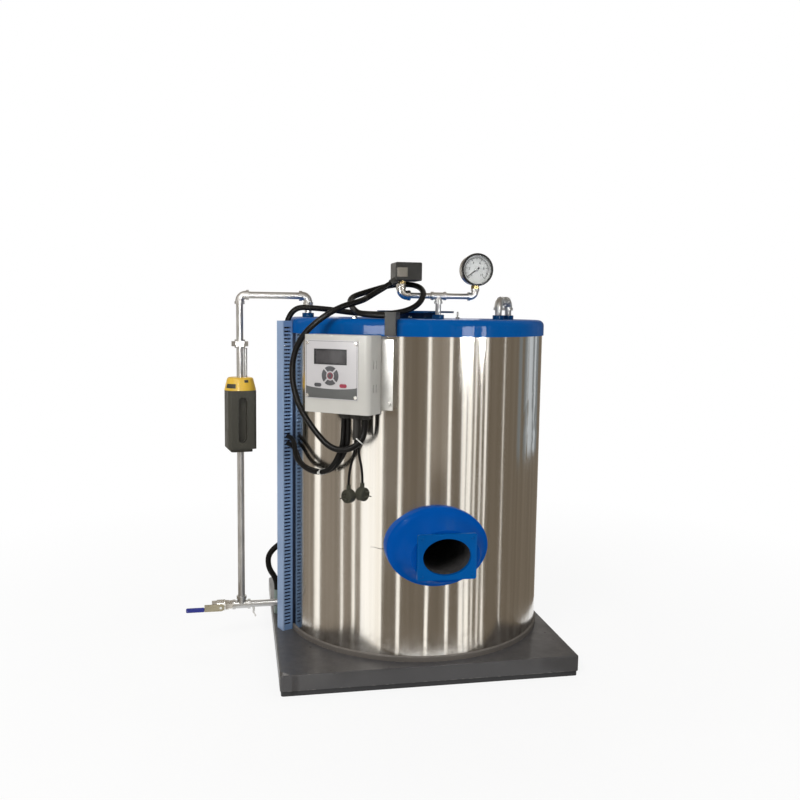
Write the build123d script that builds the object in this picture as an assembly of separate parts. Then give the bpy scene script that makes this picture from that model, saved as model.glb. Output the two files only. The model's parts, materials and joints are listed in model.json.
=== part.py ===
"""Upright steam boiler on a square base tray, in millimetres.

Frame: the origin is on the floor under the jacket's axis, +Z is up and the burner faces -Y.
"""
import os
from collections import namedtuple
from math import cos, pi, radians, sin, tan

from build123d import *

# Fits
FIT_GAP = 0.3                       # between curved faces that seat on each other
CUT_PAST = 10                       # how far a cut runs beyond the wall it opens

# Jacket, cap and furnace
JACKET_R = 400
JACKET_SHEET = 4
CAP_TOP = 1025
CAP_SHEET = 4
CAP_SKIRT = 47
CAP_SHOULDER = 18
CAP_R = JACKET_R + FIT_GAP + CAP_SHEET
CAP_UNDER = CAP_TOP - CAP_SHEET
JACKET_TOP = CAP_UNDER - CAP_SHOULDER
FURNACE_SPACE = 110                 # between the jacket and the furnace shell
FURNACE_R = JACKET_R - FURNACE_SPACE
FURNACE_WALL = 8
FURNACE_HEADROOM = 35
FURNACE_TOP = CAP_TOP - FURNACE_HEADROOM
FLUE_R = 73
FLUE_WALL = 6
FLUE_FLANGE_R = 122
FLUE_FLANGE = 6
FLUE_RISE = 24
FLUE_TOP = CAP_TOP + FLUE_RISE

# Base
BASE_MARGIN = 30                    # from the jacket to the tray's edge
BASE_SIDE = 2 * (JACKET_R + BASE_MARGIN)
BASE_X = -20                        # the tray's centre lies left of the jacket's axis
SKID_HEIGHT = 15
SKID_SETBACK = 3
SKID_BAR = 70
TRAY_HEIGHT = 45
TRAY_SHEET = 5
TRAY_EDGE = 4
TRAY_CORNER = 8
BASE_TOP = SKID_HEIGHT + TRAY_HEIGHT
RING_HEIGHT = 16
RING_LEDGE, RING_INSET = 4, 20      # the ring's edges, out and in from the jacket
RING_BEVEL = 3
RING_TOP = BASE_TOP + RING_HEIGHT

# Burner, on the front; depths are from the jacket's axis
BURNER_X = -13
BURNER_Z = 398
NECK_A, NECK_B = 140, 107           # half axes of the oval drum
NECK_SHOULDER = 58                  # rounds the drum over towards the plate
NECK_INSET = 50
NECK_BACK = JACKET_R - NECK_INSET
BURNER_REACH = 120
PLATE_FACE = JACKET_R + BURNER_REACH
PLATE_W, PLATE_H, PLATE_T = 162, 124, 12
NECK_FACE = PLATE_FACE - PLATE_T
PLATE_CORNER = 6
THROAT_A, THROAT_B = 66, 50
THROAT_LINING = 9
THROAT_INSET = 28
THROAT_BACK = FURNACE_R - THROAT_INSET
STUD_W, STUD_H = 138, 102
STUD_HOLE_R = 5

# Wiring duct, on the left
DUCT_ANGLE = -65                    # way the cover faces, from the front
DUCT_W, DUCT_D = 35, 33
DUCT_WALL = 2.2
DUCT_BELOW_CAP = 11
DUCT_BOTTOM, DUCT_TOP = BASE_TOP, CAP_TOP - DUCT_BELOW_CAP
DUCT_STANDOFF = 5.5
DUCT_CORNER_R = JACKET_R + DUCT_STANDOFF    # inner front corner, from the jacket's axis
DUCT_CORNER_ANGLE = -77
DUCT_LIP = 2
DUCT_LIP_T = 1.5
SLOT_PITCH = 11
SLOT_HEIGHT = 5
SLOT_ROOT = 6
SLOT_MARGIN = 20                    # plain ends of the comb, together
SLOT_COUNT = int((DUCT_TOP - DUCT_BOTTOM - SLOT_MARGIN) / SLOT_PITCH)
RAIL_INSET, RAIL_WIDTH = 3, 18       # the rail behind the duct, from its front corner
RAIL_DEPTH = 40                     # before the jacket is cut from it

# Pipework: plain pipe and malleable fittings
Fitting = namedtuple("Fitting", "pipe wall band band_length body reach socket")
HALF_INCH = Fitting(pipe=10.65, wall=2.6, band=15.5, band_length=9, body=13, reach=28, socket=13)
SMALL = Fitting(pipe=8.6, wall=2.3, band=12.8, band_length=7, body=10.6, reach=23, socket=11)
COCK = Fitting(pipe=8.6, wall=2.3, band=15, band_length=9, body=13.5, reach=28, socket=11)
PIPE_R = HALF_INCH.pipe
BOSS_R = 18
BOSS_HEIGHT = 13

# Level column, from its steam leg on the cap down to its water leg
COLUMN_STANDOFF = 150
COLUMN_X, COLUMN_Y = -(JACKET_R + COLUMN_STANDOFF), 0
STEAM_LEG_INSET = 59
STEAM_LEG_X = -(JACKET_R - STEAM_LEG_INSET)
STEAM_LEG_RISE = 65
STEAM_LEG_Z = CAP_TOP + STEAM_LEG_RISE
UNION_DROP, UNION_R, UNION_HEIGHT = 149, 22, 26
UNION_Z = STEAM_LEG_Z - UNION_DROP
UNION_COLLAR_R = 16
LEVEL_CAP_DROP, LEVEL_CAP_HEIGHT = 103, 39
LEVEL_CAP_TOP = UNION_Z - LEVEL_CAP_DROP
LEVEL_CAP_BOTTOM = LEVEL_CAP_TOP - LEVEL_CAP_HEIGHT
LEVEL_W, LEVEL_D, LEVEL_H = 86, 86, 180
LEVEL_TURN = 10                     # the switch is screwed on a little to the right
LEVEL_BOTTOM = LEVEL_CAP_BOTTOM - LEVEL_H
LEVEL_STEP = 10
LEVEL_CORNER = 10
LEVEL_CAP_W, LEVEL_CAP_CORNER = 96, 40
LEVEL_CAP_TAPER, LEVEL_CAP_EDGE = 0.8, 8
LEVEL_SLOT_MARGIN = 20
LEVEL_SLOT_W, LEVEL_SLOT_DEPTH = 26, 18
WATER_LEG_RISE = 55
WATER_LEG_Z = BASE_TOP + WATER_LEG_RISE
WATER_LEG_IN = 20                   # how far the water leg reaches into the jacket
SENSE_TUBE_R = 5
SENSE_TUBE_OFF = 17
SENSE_TUBE_X = COLUMN_X + SENSE_TUBE_OFF

# Drain valve, to the left of the column's tee
NIPPLE_FLATS = 25
VALVE_OFF, VALVE_LENGTH, STEM_OFF = 40, 52, 24
VALVE_FROM = COLUMN_X - VALVE_OFF
VALVE_TO = VALVE_FROM - VALVE_LENGTH
VALVE_STEM_X = VALVE_FROM - STEM_OFF
VALVE_FLATS = 27
VALVE_BELLY, VALVE_BELLY_R = 26, 17
OUTLET_R, OUTLET_LENGTH = 9.3, 16
STEM_R = 4
STEM_NUT_FLATS = 14
STEM_GAP = 1.5
STEM_RUN = 0.1                      # running clearance of the lever on its stem
LEVER_Y = -26                       # front of the lever
LEVER_THICK = 3
LEVER_WIDTH = 22
GRIP_OFF, GRIP_LENGTH = 50, 56
GRIP_FROM = VALVE_STEM_X - GRIP_OFF
GRIP_WIDTH, GRIP_THICK = 14, 9
GRIP_DROP = 4
GRIP_EDGE = 3.6
TANG_LENGTH, TANG_WIDTH = 44.8, 8

# Gauge and switch pipework on the cap
MANIFOLD_RISE = 69
MANIFOLD_Y, MANIFOLD_Z = -150, CAP_TOP + MANIFOLD_RISE
RISER_X = 38
GAUGE_X = 152
SWITCH_X = -77
GAUGE_R, GAUGE_DEPTH = 47, 44
GAUGE_RISE = 80
GAUGE_Z = MANIFOLD_Z + GAUGE_RISE
GAUGE_FORWARD = 26
GAUGE_FACE_Y = MANIFOLD_Y - GAUGE_FORWARD
GAUGE_BACK_ROUND = 6
GAUGE_FLATS = 22
BEZEL_R, BEZEL_DEPTH = 49, 10
BEZEL_ROUND, BEZEL_LIP = 3, 2
GLASS_R, GLASS_T = 45, 2
DIAL_R, DIAL_T, DIAL_WELL = 44, 1.5, 6
POINTER_ANGLE = 217                 # counter-clockwise from the right
POINTER_LENGTH = 38
POINTER_TAIL, POINTER_HUB_R, POINTER_T = 11, 4, 1
POINTER_BUTT, POINTER_TIP = 4.8, 1.2
SWITCH_BOX = (79, 90, 54)
SWITCH_SHIFT, SWITCH_RISE = 15, 42
SWITCH_BOX_X = SWITCH_X + SWITCH_SHIFT
SWITCH_BOTTOM = MANIFOLD_Z + SWITCH_RISE
SWITCH_EDGE = 4
SWITCH_FLATS = 26
SWITCH_COLLAR, SWITCH_COLLAR_R = 8, 14
SWITCH_LABEL_X, SWITCH_LABEL_Z = -20, -2
SWITCH_LABEL_W, SWITCH_LABEL_H, SWITCH_LABEL_T = 33, 29, 0.8

# Vent bridge on the cap
VENT_FRONT_INSET, VENT_BACK_INSET = 144, 88     # from the jacket's face to the two legs
VENT_FRONT = (JACKET_R - VENT_FRONT_INSET, -60)
VENT_BACK = (JACKET_R - VENT_BACK_INSET, 14)
VENT_RISE = 57
VENT_Z = CAP_TOP + VENT_RISE

# Control box, front left; panel heights are from the box's middle
BOX_ANGLE = -38
BOX_STANDOFF = 85
BOX_FACE = JACKET_R + BOX_STANDOFF
BOX_W, BOX_H, BOX_D = 208, 212, 65
BOX_BELOW_CAP = 256
BOX_BOTTOM = CAP_TOP - BOX_BELOW_CAP
BOX_SHEET = 3
BOX_CORNER = 14
BOX_MID = BOX_BOTTOM + BOX_H / 2
PANEL_W, PANEL_H, PANEL_T = 166, 160, 2
PANEL_U, PANEL_V = -12, 12
PANEL_CORNER = 4
DISPLAY_W, DISPLAY_H = 100, 39
DISPLAY_U, DISPLAY_V = -15, 47
DISPLAY_SUNK = 0.6
KEYS_U, KEYS_V = -15, -4
KEY_OUT_R, KEY_IN_R, KEY_GAP, KEY_T = 26, 13, 5, 1.6
KEY_CENTRE_R = 9
BUTTON_W, BUTTON_H = 22, 10
START_U, STOP_U, BUTTON_V = -54, 26, -30
BRACKET_LEFT, BRACKET_RIGHT = -100, 141
BRACKET_MARGIN = 10
BRACKET_SHEET = 3
BRACKET_LEG_INSET = 45              # from the bracket's edges to its legs
GLAND_DEPTH = -35                   # from the box's face
GLAND_US = (14, 48, 74)
GLAND_RADII = (16, 16, 14)
GLAND_HEIGHT = 14
SLEEVE_R, SLEEVE_LENGTH = 11, 58
VENT_SLOT_VS = (28, -36)
VENT_SLOT_DEPTHS = (24, 40)
VENT_SLOT_W, VENT_SLOT_H = 3, 22

# Cable entry on the cap's rim
ENTRY_ANGLE = -21
ENTRY_W = 30
ENTRY_DROP, ENTRY_RISE = 45, 19
ENTRY_BOTTOM, ENTRY_TOP = CAP_TOP - ENTRY_DROP, CAP_TOP + ENTRY_RISE
ENTRY_INSET, ENTRY_OVERHANG = 42, 24
ENTRY_IN, ENTRY_OUT = CAP_R - ENTRY_INSET, CAP_R + ENTRY_OVERHANG
INLET_INSET = 18                    # where the duct conduit enters its left side, in from the rim

# Feed pipe behind the duct
FEED_R = 10
FEED_STANDOFF = 36
FEED_Y = 55
FEED_X = -(JACKET_R + FEED_STANDOFF)
FEED_RISE = 80
FEED_TOP = BASE_TOP + FEED_RISE
NIPPLE_STANDOFF, NIPPLE_RISE, NIPPLE_LENGTH = 15, 158, 30
FEED_INLET = (-(JACKET_R + NIPPLE_STANDOFF), FEED_Y, FEED_TOP + NIPPLE_RISE)
FEED_SLOPE = (47, 0, 28)

# Cables, by diameter
CONDUIT_D = 17
BUNDLE_D = 14
BUNDLE_HALF = 7.8                   # from the bundle's middle to each of its two cables
LEAD_D = 7
HOSE_D = 18
BEND_SHARE = 0.45                   # share of the shorter run that a bend takes on each side
SWITCH_GLAND_R, SWITCH_GLAND_LENGTH = 11, 20
SWITCH_GLAND_X, SWITCH_GLAND_Y = -34, -28           # from the middle of the switch box
SWITCH_GLAND_SUNK = 2
SWITCH_GLAND_WAY = (-0.85, -0.1, -0.52)
SWITCH_RUN, INLET_RUN = 80, 75      # straight last runs of the two conduits

# Turning points of the cables
# Beside the control box: to the right of its middle, from its face and from its bottom
BOX_LOOP = ((74, -35, -50), (67, -19, -86), (30, -7, -112), (-20, -3, -104), (-75, -8, -50), (-132, -24, 6),
            (-164, -39, 66), (-171, -44, 120), (-156, -44, 178), (-108, -39, 232))
BUNDLE_OUT, BUNDLE_DROP = -50, (14, -35, -101)       # first turn's height, then the second turn
# Over the cap: angle from the front, out from the rim and up from the cap
BOX_OVER_RIM = ((-43.5, 12, 29), (-39, -67, 49))
DUCT_OVER_CAP = ((-68, -75, 27), (-49, -100, 15), (-27.4, -100, 11))
# Coil round the switch: from the manifold's axis
DUCT_COIL = ((-50, -118, -42), (6, -48, 4), (-6, 35, 28), (-90, 65, 28), (-170, 50, 12), (-245, -10, -10),
             (-245, -90, -41))
DUCT_CONDUIT_IN, DUCT_CONDUIT_UP = -69, 42          # from the duct's top
# Round the jacket: angle from the front, out from the jacket and from the box's bottom
BUNDLE_SWAG = ((-43.2, 41.5, -171), (-53, 37, -182), (-64, 30, -164))
BUNDLE_END, BUNDLE_END_DEPTH = -114, 15             # height and depth on the comb's wall
BUNDLE_RUN = 40                     # straight last run of the bundle
# Hose: from the feed pipe's top
HOSE_BULGE = ((0, 0, 32), (-30, 0, 75), (-26, 0, 130))

# Plugs on the two leads, in the box's frame like the box loop
PLUG_R, PLUG_DEPTH, PLUG_EDGE = 19, 24, 4
PLUG_NECK_R, PLUG_NECK = 6, 12
PIN_SPREAD, PIN_W, PIN_T, PIN_LENGTH = 16, 5, 2, 14
LEAD_SPREAD = 9                     # between the two leads where they leave the sleeve
LEFT_LEAD = ((43.5, -35, -105), (22, -37, -165))
LEFT_PLUG, LEFT_PLUG_ANGLE = (22, -37, -201), -50
RIGHT_LEAD = ((52.5, -35, -106), (53, -59, -160))
RIGHT_PLUG, RIGHT_PLUG_ANGLE = (53, -59, -196), 40


def at(angle, radius, z=0):
    """Point at an angle from the front, positive to the right, and a radius from the jacket's axis."""
    return Vector(radius * sin(radians(angle)), -radius * cos(radians(angle)), z)


def facing(angle, radius):
    """Plane with its normal pointing out at an angle; its x runs to the right and its y up."""
    right = Vector(cos(radians(angle)), sin(radians(angle)), 0)
    return Plane(origin=at(angle, radius), x_dir=right, z_dir=at(angle, 1))


def front_plane(x, z, distance):
    """Plane facing the front at a distance from the jacket's axis."""
    return Plane(origin=(x, -distance, z), x_dir=(1, 0, 0), z_dir=(0, -1, 0))


def tube(outer, inner, bottom, top):
    """Upright tube on the jacket's axis."""
    ring = Circle(outer) - Circle(inner)
    return Pos(0, 0, bottom) * extrude(ring, top - bottom)


def rod(start, end, radius):
    """Plain round bar between two points."""
    way = Vector(end) - Vector(start)
    return extrude(Plane(origin=start, z_dir=way) * Circle(radius), way.length)


def pipe(start, end, size=HALF_INCH):
    """Straight piece of pipe between two points."""
    way = Vector(end) - Vector(start)
    ring = Circle(size.pipe) - Circle(size.pipe - size.wall)
    return extrude(Plane(origin=start, z_dir=way) * ring, way.length)


def hexagon(start, end, flats):
    """Hexagon nut between two points, by its width across the flats."""
    way = Vector(end) - Vector(start)
    outline = RegularPolygon(flats / 2, 6, major_radius=False)
    return extrude(Plane(origin=start, z_dir=way) * outline, way.length)


def seat(centre, way, size=HALF_INCH):
    """Where a pipe end seats at the bottom of a fitting's socket."""
    return Vector(centre) + Vector(way).normalized() * (size.reach - size.socket)


def mouth(centre, way, size=HALF_INCH):
    """Outer end of a fitting's socket."""
    return Vector(centre) + Vector(way).normalized() * size.reach


def finish_fitting(body, centre, ways, size):
    """Adds a band and bores a socket at each mouth of a fitting."""
    for way in ways:
        body += rod(mouth(centre, way, size) - way * size.band_length, mouth(centre, way, size), size.band)
    for way in ways:
        body -= rod(seat(centre, way, size), mouth(centre, way, size) + way, size.pipe + FIT_GAP)
    return body


def elbow(centre, way_one, way_two, size=HALF_INCH):
    """Elbow with a banded socket towards each of two square directions."""
    one, two = Vector(way_one).normalized(), Vector(way_two).normalized()
    bend = size.reach - size.band_length
    corner = Vector(centre)
    profile = Plane(origin=corner + one * bend, z_dir=one) * Circle(size.body)
    body = revolve(profile, Axis(corner + (one + two) * bend, two.cross(one)), 90)
    return finish_fitting(body, centre, (one, two), size)


def tee(centre, run, branch, size=HALF_INCH):
    """Tee: a straight run with one branch square to it."""
    run, branch = Vector(run).normalized(), Vector(branch).normalized()
    body = rod(mouth(centre, run * -1, size), mouth(centre, run, size), size.body)
    body += rod(centre, mouth(centre, branch, size), size.body)
    return finish_fitting(body, centre, (run, run * -1, branch), size)


def build_base():
    """Skid frame, folded tray and the ring that carries the jacket."""
    half = BASE_SIDE / 2
    skid_half = half - SKID_SETBACK
    frame = Pos(BASE_X, 0) * RectangleRounded(2 * skid_half, 2 * skid_half, TRAY_CORNER)
    inner = skid_half - SKID_BAR
    left, right = BASE_X - inner, BASE_X + inner
    for x_low, x_high in ((left, -SKID_BAR / 2), (SKID_BAR / 2, right)):
        for y_low, y_high in ((-inner, -SKID_BAR / 2), (SKID_BAR / 2, inner)):
            window = Rectangle(x_high - x_low, y_high - y_low)
            frame -= Pos((x_low + x_high) / 2, (y_low + y_high) / 2) * window
    skid = extrude(frame, SKID_HEIGHT)

    outside = extrude(RectangleRounded(BASE_SIDE, BASE_SIDE, TRAY_CORNER), TRAY_HEIGHT)
    outside = fillet(outside.faces().sort_by(Axis.Z)[-1].edges(), TRAY_EDGE)
    core_side = BASE_SIDE - 2 * TRAY_SHEET
    core = extrude(RectangleRounded(core_side, core_side, TRAY_CORNER - TRAY_SHEET), TRAY_HEIGHT - TRAY_SHEET)
    tray = Pos(BASE_X, 0, SKID_HEIGHT) * (outside - core)

    ring = tube(JACKET_R + RING_LEDGE, JACKET_R - RING_INSET, BASE_TOP, RING_TOP)
    ring = chamfer(ring.edges().group_by(Axis.Z)[-1].sort_by(SortBy.LENGTH)[-1], RING_BEVEL)
    return {"base_skid": skid, "base_tray": tray, "base_ring": ring}


def neck_cut(grow, front, back):
    """Oval the neck fills in the walls behind it."""
    plane = front_plane(BURNER_X, BURNER_Z, front)
    return extrude(plane * Ellipse(NECK_A + grow, NECK_B + grow), -(front - back))


def throat_cut(grow, front, back):
    """Oval the throat lining or its bore fills."""
    plane = front_plane(BURNER_X, BURNER_Z, front)
    return extrude(plane * Ellipse(THROAT_A + grow, THROAT_B + grow), -(front - back))


def build_body():
    """Jacket wall in four segments, furnace shell inside, cap and flue collar on top."""
    wall = tube(JACKET_R, JACKET_R - JACKET_SHEET, RING_TOP, JACKET_TOP)
    wall -= neck_cut(FIT_GAP, JACKET_R + CUT_PAST, 0)
    outside, inside = -(JACKET_R + CUT_PAST), -(JACKET_R - JACKET_SHEET - CUT_PAST)
    wall -= rod((outside, COLUMN_Y, WATER_LEG_Z), (inside, COLUMN_Y, WATER_LEG_Z), PIPE_R + FIT_GAP)
    wall -= feed_nipple(FIT_GAP)
    pieces = {}
    for name, angle in (("front", 0), ("right", 90), ("back", 180), ("left", -90)):
        reach = 2 * JACKET_R
        side_one, side_two = at(angle - 45, reach), at(angle + 45, reach)
        wedge = make_face(Polyline((0, 0), (side_one.X, side_one.Y), (side_two.X, side_two.Y), close=True))
        pieces["jacket_" + name] = wall & extrude(wedge, CAP_TOP)

    inner = FURNACE_R - FURNACE_WALL
    top_under = FURNACE_TOP - FURNACE_WALL
    flue_bore = FLUE_R - FLUE_WALL
    profile = make_face(Polyline((FURNACE_R, BASE_TOP), (FURNACE_R, FURNACE_TOP), (flue_bore, FURNACE_TOP),
                                 (flue_bore, top_under), (inner, top_under), (inner, BASE_TOP), close=True))
    furnace = revolve(Plane.XZ * profile, Axis.Z)
    pieces["furnace_shell"] = furnace - throat_cut(THROAT_LINING + FIT_GAP, FURNACE_R + CUT_PAST, 0)

    skirt_bottom = CAP_TOP - CAP_SKIRT
    shell = Pos(0, 0, skirt_bottom) * extrude(Circle(CAP_R), CAP_SKIRT)
    shell = fillet(shell.edges().group_by(Axis.Z)[-1], CAP_SHOULDER)
    hollow = extrude(Circle(JACKET_R + FIT_GAP), JACKET_TOP)
    hollow += extrude(Circle(JACKET_R + FIT_GAP - CAP_SHOULDER), CAP_UNDER)
    pieces["top_cap"] = shell - hollow - rod((0, 0, 0), (0, 0, CAP_TOP + CUT_PAST), FLUE_R + FIT_GAP)

    collar = tube(FLUE_R, FLUE_R - FLUE_WALL, FURNACE_TOP, FLUE_TOP)
    collar += tube(FLUE_FLANGE_R, FLUE_R - FLUE_WALL, FLUE_TOP - FLUE_FLANGE, FLUE_TOP)
    pieces["flue_collar"] = collar
    return pieces


def build_burner():
    """Oval neck rounded over to the front, the square plate on it and the lining of the throat."""
    drum = neck_cut(0, NECK_FACE, NECK_BACK)
    drum = fillet(drum.edges().sort_by(Axis.Y)[0], NECK_SHOULDER)
    neck = drum - throat_cut(THROAT_LINING + FIT_GAP, PLATE_FACE, NECK_BACK - CUT_PAST)

    outline = RectangleRounded(PLATE_W, PLATE_H, PLATE_CORNER) - Ellipse(THROAT_A, THROAT_B)
    outline -= GridLocations(STUD_W, STUD_H, 2, 2) * Circle(STUD_HOLE_R)
    plate = extrude(front_plane(BURNER_X, BURNER_Z, NECK_FACE) * outline, PLATE_T)

    lining = throat_cut(THROAT_LINING, NECK_FACE, THROAT_BACK) - throat_cut(0, NECK_FACE, THROAT_BACK)
    return {"burner_neck": neck, "burner_plate": plate, "burner_throat": lining}


def build_duct():
    """Slotted wiring duct: comb channel, clip-on cover and the rail that holds it off the jacket."""
    right = Vector(cos(radians(DUCT_ANGLE)), sin(radians(DUCT_ANGLE)), 0)
    corner = at(DUCT_CORNER_ANGLE, DUCT_CORNER_R, DUCT_BOTTOM)
    section = Plane(origin=corner, x_dir=right, z_dir=(0, 0, 1))
    height = DUCT_TOP - DUCT_BOTTOM
    wall_depth = DUCT_D - DUCT_WALL

    channel = Pos(-DUCT_W / 2, -wall_depth / 2) * Rectangle(DUCT_W, wall_depth)
    hollow_depth = wall_depth - DUCT_WALL
    hollow = Rectangle(DUCT_W - 2 * DUCT_WALL, hollow_depth)
    channel -= Pos(-DUCT_W / 2, -wall_depth + hollow_depth / 2) * hollow
    comb = extrude(section * channel, height)
    slot_length = wall_depth - SLOT_ROOT
    slot = Box(DUCT_W + 2, slot_length, SLOT_HEIGHT)
    first = (height - (SLOT_COUNT - 1) * SLOT_PITCH) / 2
    slots = [section * Pos(-DUCT_W / 2, -SLOT_ROOT - slot_length / 2, first + i * SLOT_PITCH) * slot
             for i in range(SLOT_COUNT)]
    comb -= slots

    lid_width = DUCT_W + 2 * DUCT_LIP_T
    lid_depth = DUCT_WALL + DUCT_LIP
    lid = Pos(-DUCT_W / 2, -DUCT_D + lid_depth / 2) * Rectangle(lid_width, lid_depth)
    lid -= Pos(-DUCT_W / 2, -wall_depth + DUCT_LIP / 2) * Rectangle(DUCT_W, DUCT_LIP)
    cover = extrude(section * lid, height)

    rail = Box(RAIL_WIDTH, RAIL_DEPTH, height)
    rail = section * Pos(-RAIL_INSET - RAIL_WIDTH / 2, RAIL_DEPTH / 2, height / 2) * rail
    rail -= extrude(Circle(JACKET_R + FIT_GAP), CAP_TOP)
    rail -= extrude(Circle(JACKET_R + RING_LEDGE + FIT_GAP), RING_TOP + FIT_GAP)
    rail -= Pos(0, 0, CAP_TOP - CAP_SKIRT - FIT_GAP) * extrude(Circle(CAP_R + FIT_GAP), CAP_SKIRT)
    return {"duct_channel": comb, "duct_cover": cover, "duct_rail": rail}


def build_column():
    """Level column on the left: steam leg over the cap, level switch, tee and water leg into the jacket."""
    top_right = Vector(STEAM_LEG_X, COLUMN_Y, STEAM_LEG_Z)
    top_left = Vector(COLUMN_X, COLUMN_Y, STEAM_LEG_Z)
    foot = Vector(COLUMN_X, COLUMN_Y, WATER_LEG_Z)
    right, left = Vector(1, 0, 0), Vector(-1, 0, 0)
    up, down = Vector(0, 0, 1), Vector(0, 0, -1)

    steam_stub = pipe((STEAM_LEG_X, COLUMN_Y, CAP_TOP), seat(top_right, down))
    steam_pipe = pipe(seat(top_left, right), seat(top_right, left))
    upper_pipe = pipe((COLUMN_X, COLUMN_Y, LEVEL_CAP_TOP), seat(top_left, down))

    low, high = UNION_Z - UNION_HEIGHT / 2, UNION_Z + UNION_HEIGHT / 2
    collar = UNION_HEIGHT / 5
    union = rod((COLUMN_X, COLUMN_Y, low), (COLUMN_X, COLUMN_Y, high), UNION_COLLAR_R)
    union += hexagon((COLUMN_X, COLUMN_Y, low + collar), (COLUMN_X, COLUMN_Y, high - collar), 2 * UNION_R)
    union -= rod((COLUMN_X, COLUMN_Y, low), (COLUMN_X, COLUMN_Y, high), PIPE_R + FIT_GAP)
    sense_tube = rod((SENSE_TUBE_X, COLUMN_Y, LEVEL_CAP_TOP), (SENSE_TUBE_X, COLUMN_Y, low), SENSE_TUBE_R)

    centre = Pos(COLUMN_X, COLUMN_Y) * Rot(0, 0, LEVEL_TURN)
    top_w, top_d = LEVEL_CAP_W * LEVEL_CAP_TAPER, LEVEL_D * LEVEL_CAP_TAPER
    cap_foot = RectangleRounded(LEVEL_CAP_W, LEVEL_D, LEVEL_CAP_CORNER)
    cap_top = RectangleRounded(top_w, top_d, LEVEL_CAP_CORNER * LEVEL_CAP_TAPER)
    cap = loft([Pos(0, 0, LEVEL_CAP_BOTTOM) * cap_foot, Pos(0, 0, LEVEL_CAP_TOP) * cap_top])
    cap = centre * fillet(cap.edges().group_by(Axis.Z)[-1], LEVEL_CAP_EDGE)
    body = extrude(RectangleRounded(LEVEL_W, LEVEL_D, LEVEL_CORNER), LEVEL_H)
    body = Pos(0, 0, LEVEL_BOTTOM) * body
    step = RectangleRounded(LEVEL_W - 2 * LEVEL_STEP, LEVEL_D - 2 * LEVEL_STEP, LEVEL_CORNER)
    body += Pos(0, 0, LEVEL_BOTTOM - LEVEL_STEP) * extrude(step, LEVEL_STEP)
    slot_height = LEVEL_H - 2 * LEVEL_SLOT_MARGIN
    slot = extrude(front_plane(0, (LEVEL_CAP_BOTTOM + LEVEL_BOTTOM) / 2, LEVEL_D / 2)
                   * SlotOverall(slot_height, LEVEL_SLOT_W, rotation=90), -LEVEL_SLOT_DEPTH)
    body = centre * (body - slot)

    lower_pipe = pipe(seat(foot, up), (COLUMN_X, COLUMN_Y, LEVEL_BOTTOM - LEVEL_STEP))
    water_pipe = pipe(seat(foot, right), (-JACKET_R + WATER_LEG_IN, COLUMN_Y, WATER_LEG_Z))
    pipes = [steam_stub, steam_pipe, upper_pipe, lower_pipe, water_pipe]
    fittings = [elbow(top_right, down, left), elbow(top_left, right, down), union, tee(foot, right, up)]
    return {"column_pipes": Compound(pipes), "column_fittings": Compound(fittings),
            "level_sense_tube": sense_tube, "level_switch_cap": cap, "level_switch_body": body}


def build_drain():
    """Drain valve at the foot of the column, its lever turning on a stem that points to the front."""
    def along(x, y=COLUMN_Y):
        return Vector(x, y, WATER_LEG_Z)

    tee_mouth = COLUMN_X - HALF_INCH.reach
    nipple = hexagon(along(tee_mouth), along(VALVE_FROM), NIPPLE_FLATS)
    nipple += rod(along(COLUMN_X - HALF_INCH.reach + HALF_INCH.socket), along(tee_mouth), PIPE_R)

    valve = nipple + hexagon(along(VALVE_FROM), along(VALVE_TO), VALVE_FLATS)
    belly_from, belly_to = VALVE_STEM_X + VALVE_BELLY / 2, VALVE_STEM_X - VALVE_BELLY / 2
    valve += rod(along(belly_from), along(belly_to), VALVE_BELLY_R)
    lever_back = LEVER_Y + LEVER_THICK
    packing = lever_back + STEM_GAP
    valve += hexagon(along(VALVE_STEM_X), along(VALVE_STEM_X, packing), STEM_NUT_FLATS)
    valve += rod(along(VALVE_STEM_X), along(VALVE_STEM_X, LEVER_Y - STEM_GAP), STEM_R)
    valve -= rod(along(VALVE_TO), along(VALVE_TO + OUTLET_LENGTH), OUTLET_R)

    bar_middle = (VALVE_STEM_X + GRIP_FROM) / 2
    bar_length = VALVE_STEM_X - GRIP_FROM
    outline = Pos(VALVE_STEM_X, 0) * Circle(LEVER_WIDTH / 2)
    outline += Pos(bar_middle, 0) * Rectangle(bar_length, LEVER_WIDTH)
    outline += Pos(GRIP_FROM - TANG_LENGTH / 2, -GRIP_DROP) * Rectangle(TANG_LENGTH, TANG_WIDTH)
    outline -= Pos(VALVE_STEM_X, 0) * Circle(STEM_R + STEM_RUN)
    plane = Plane(origin=(0, lever_back, WATER_LEG_Z), x_dir=(1, 0, 0), z_dir=(0, -1, 0))
    lever = extrude(plane * outline, LEVER_THICK)

    grip = fillet(Box(GRIP_LENGTH, GRIP_THICK, GRIP_WIDTH).edges(), GRIP_EDGE)
    grip = Pos(GRIP_FROM - GRIP_LENGTH / 2, LEVER_Y + LEVER_THICK / 2, WATER_LEG_Z - GRIP_DROP) * grip
    return {"drain_valve": valve, "drain_lever": lever, "drain_grip": grip - lever}


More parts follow.
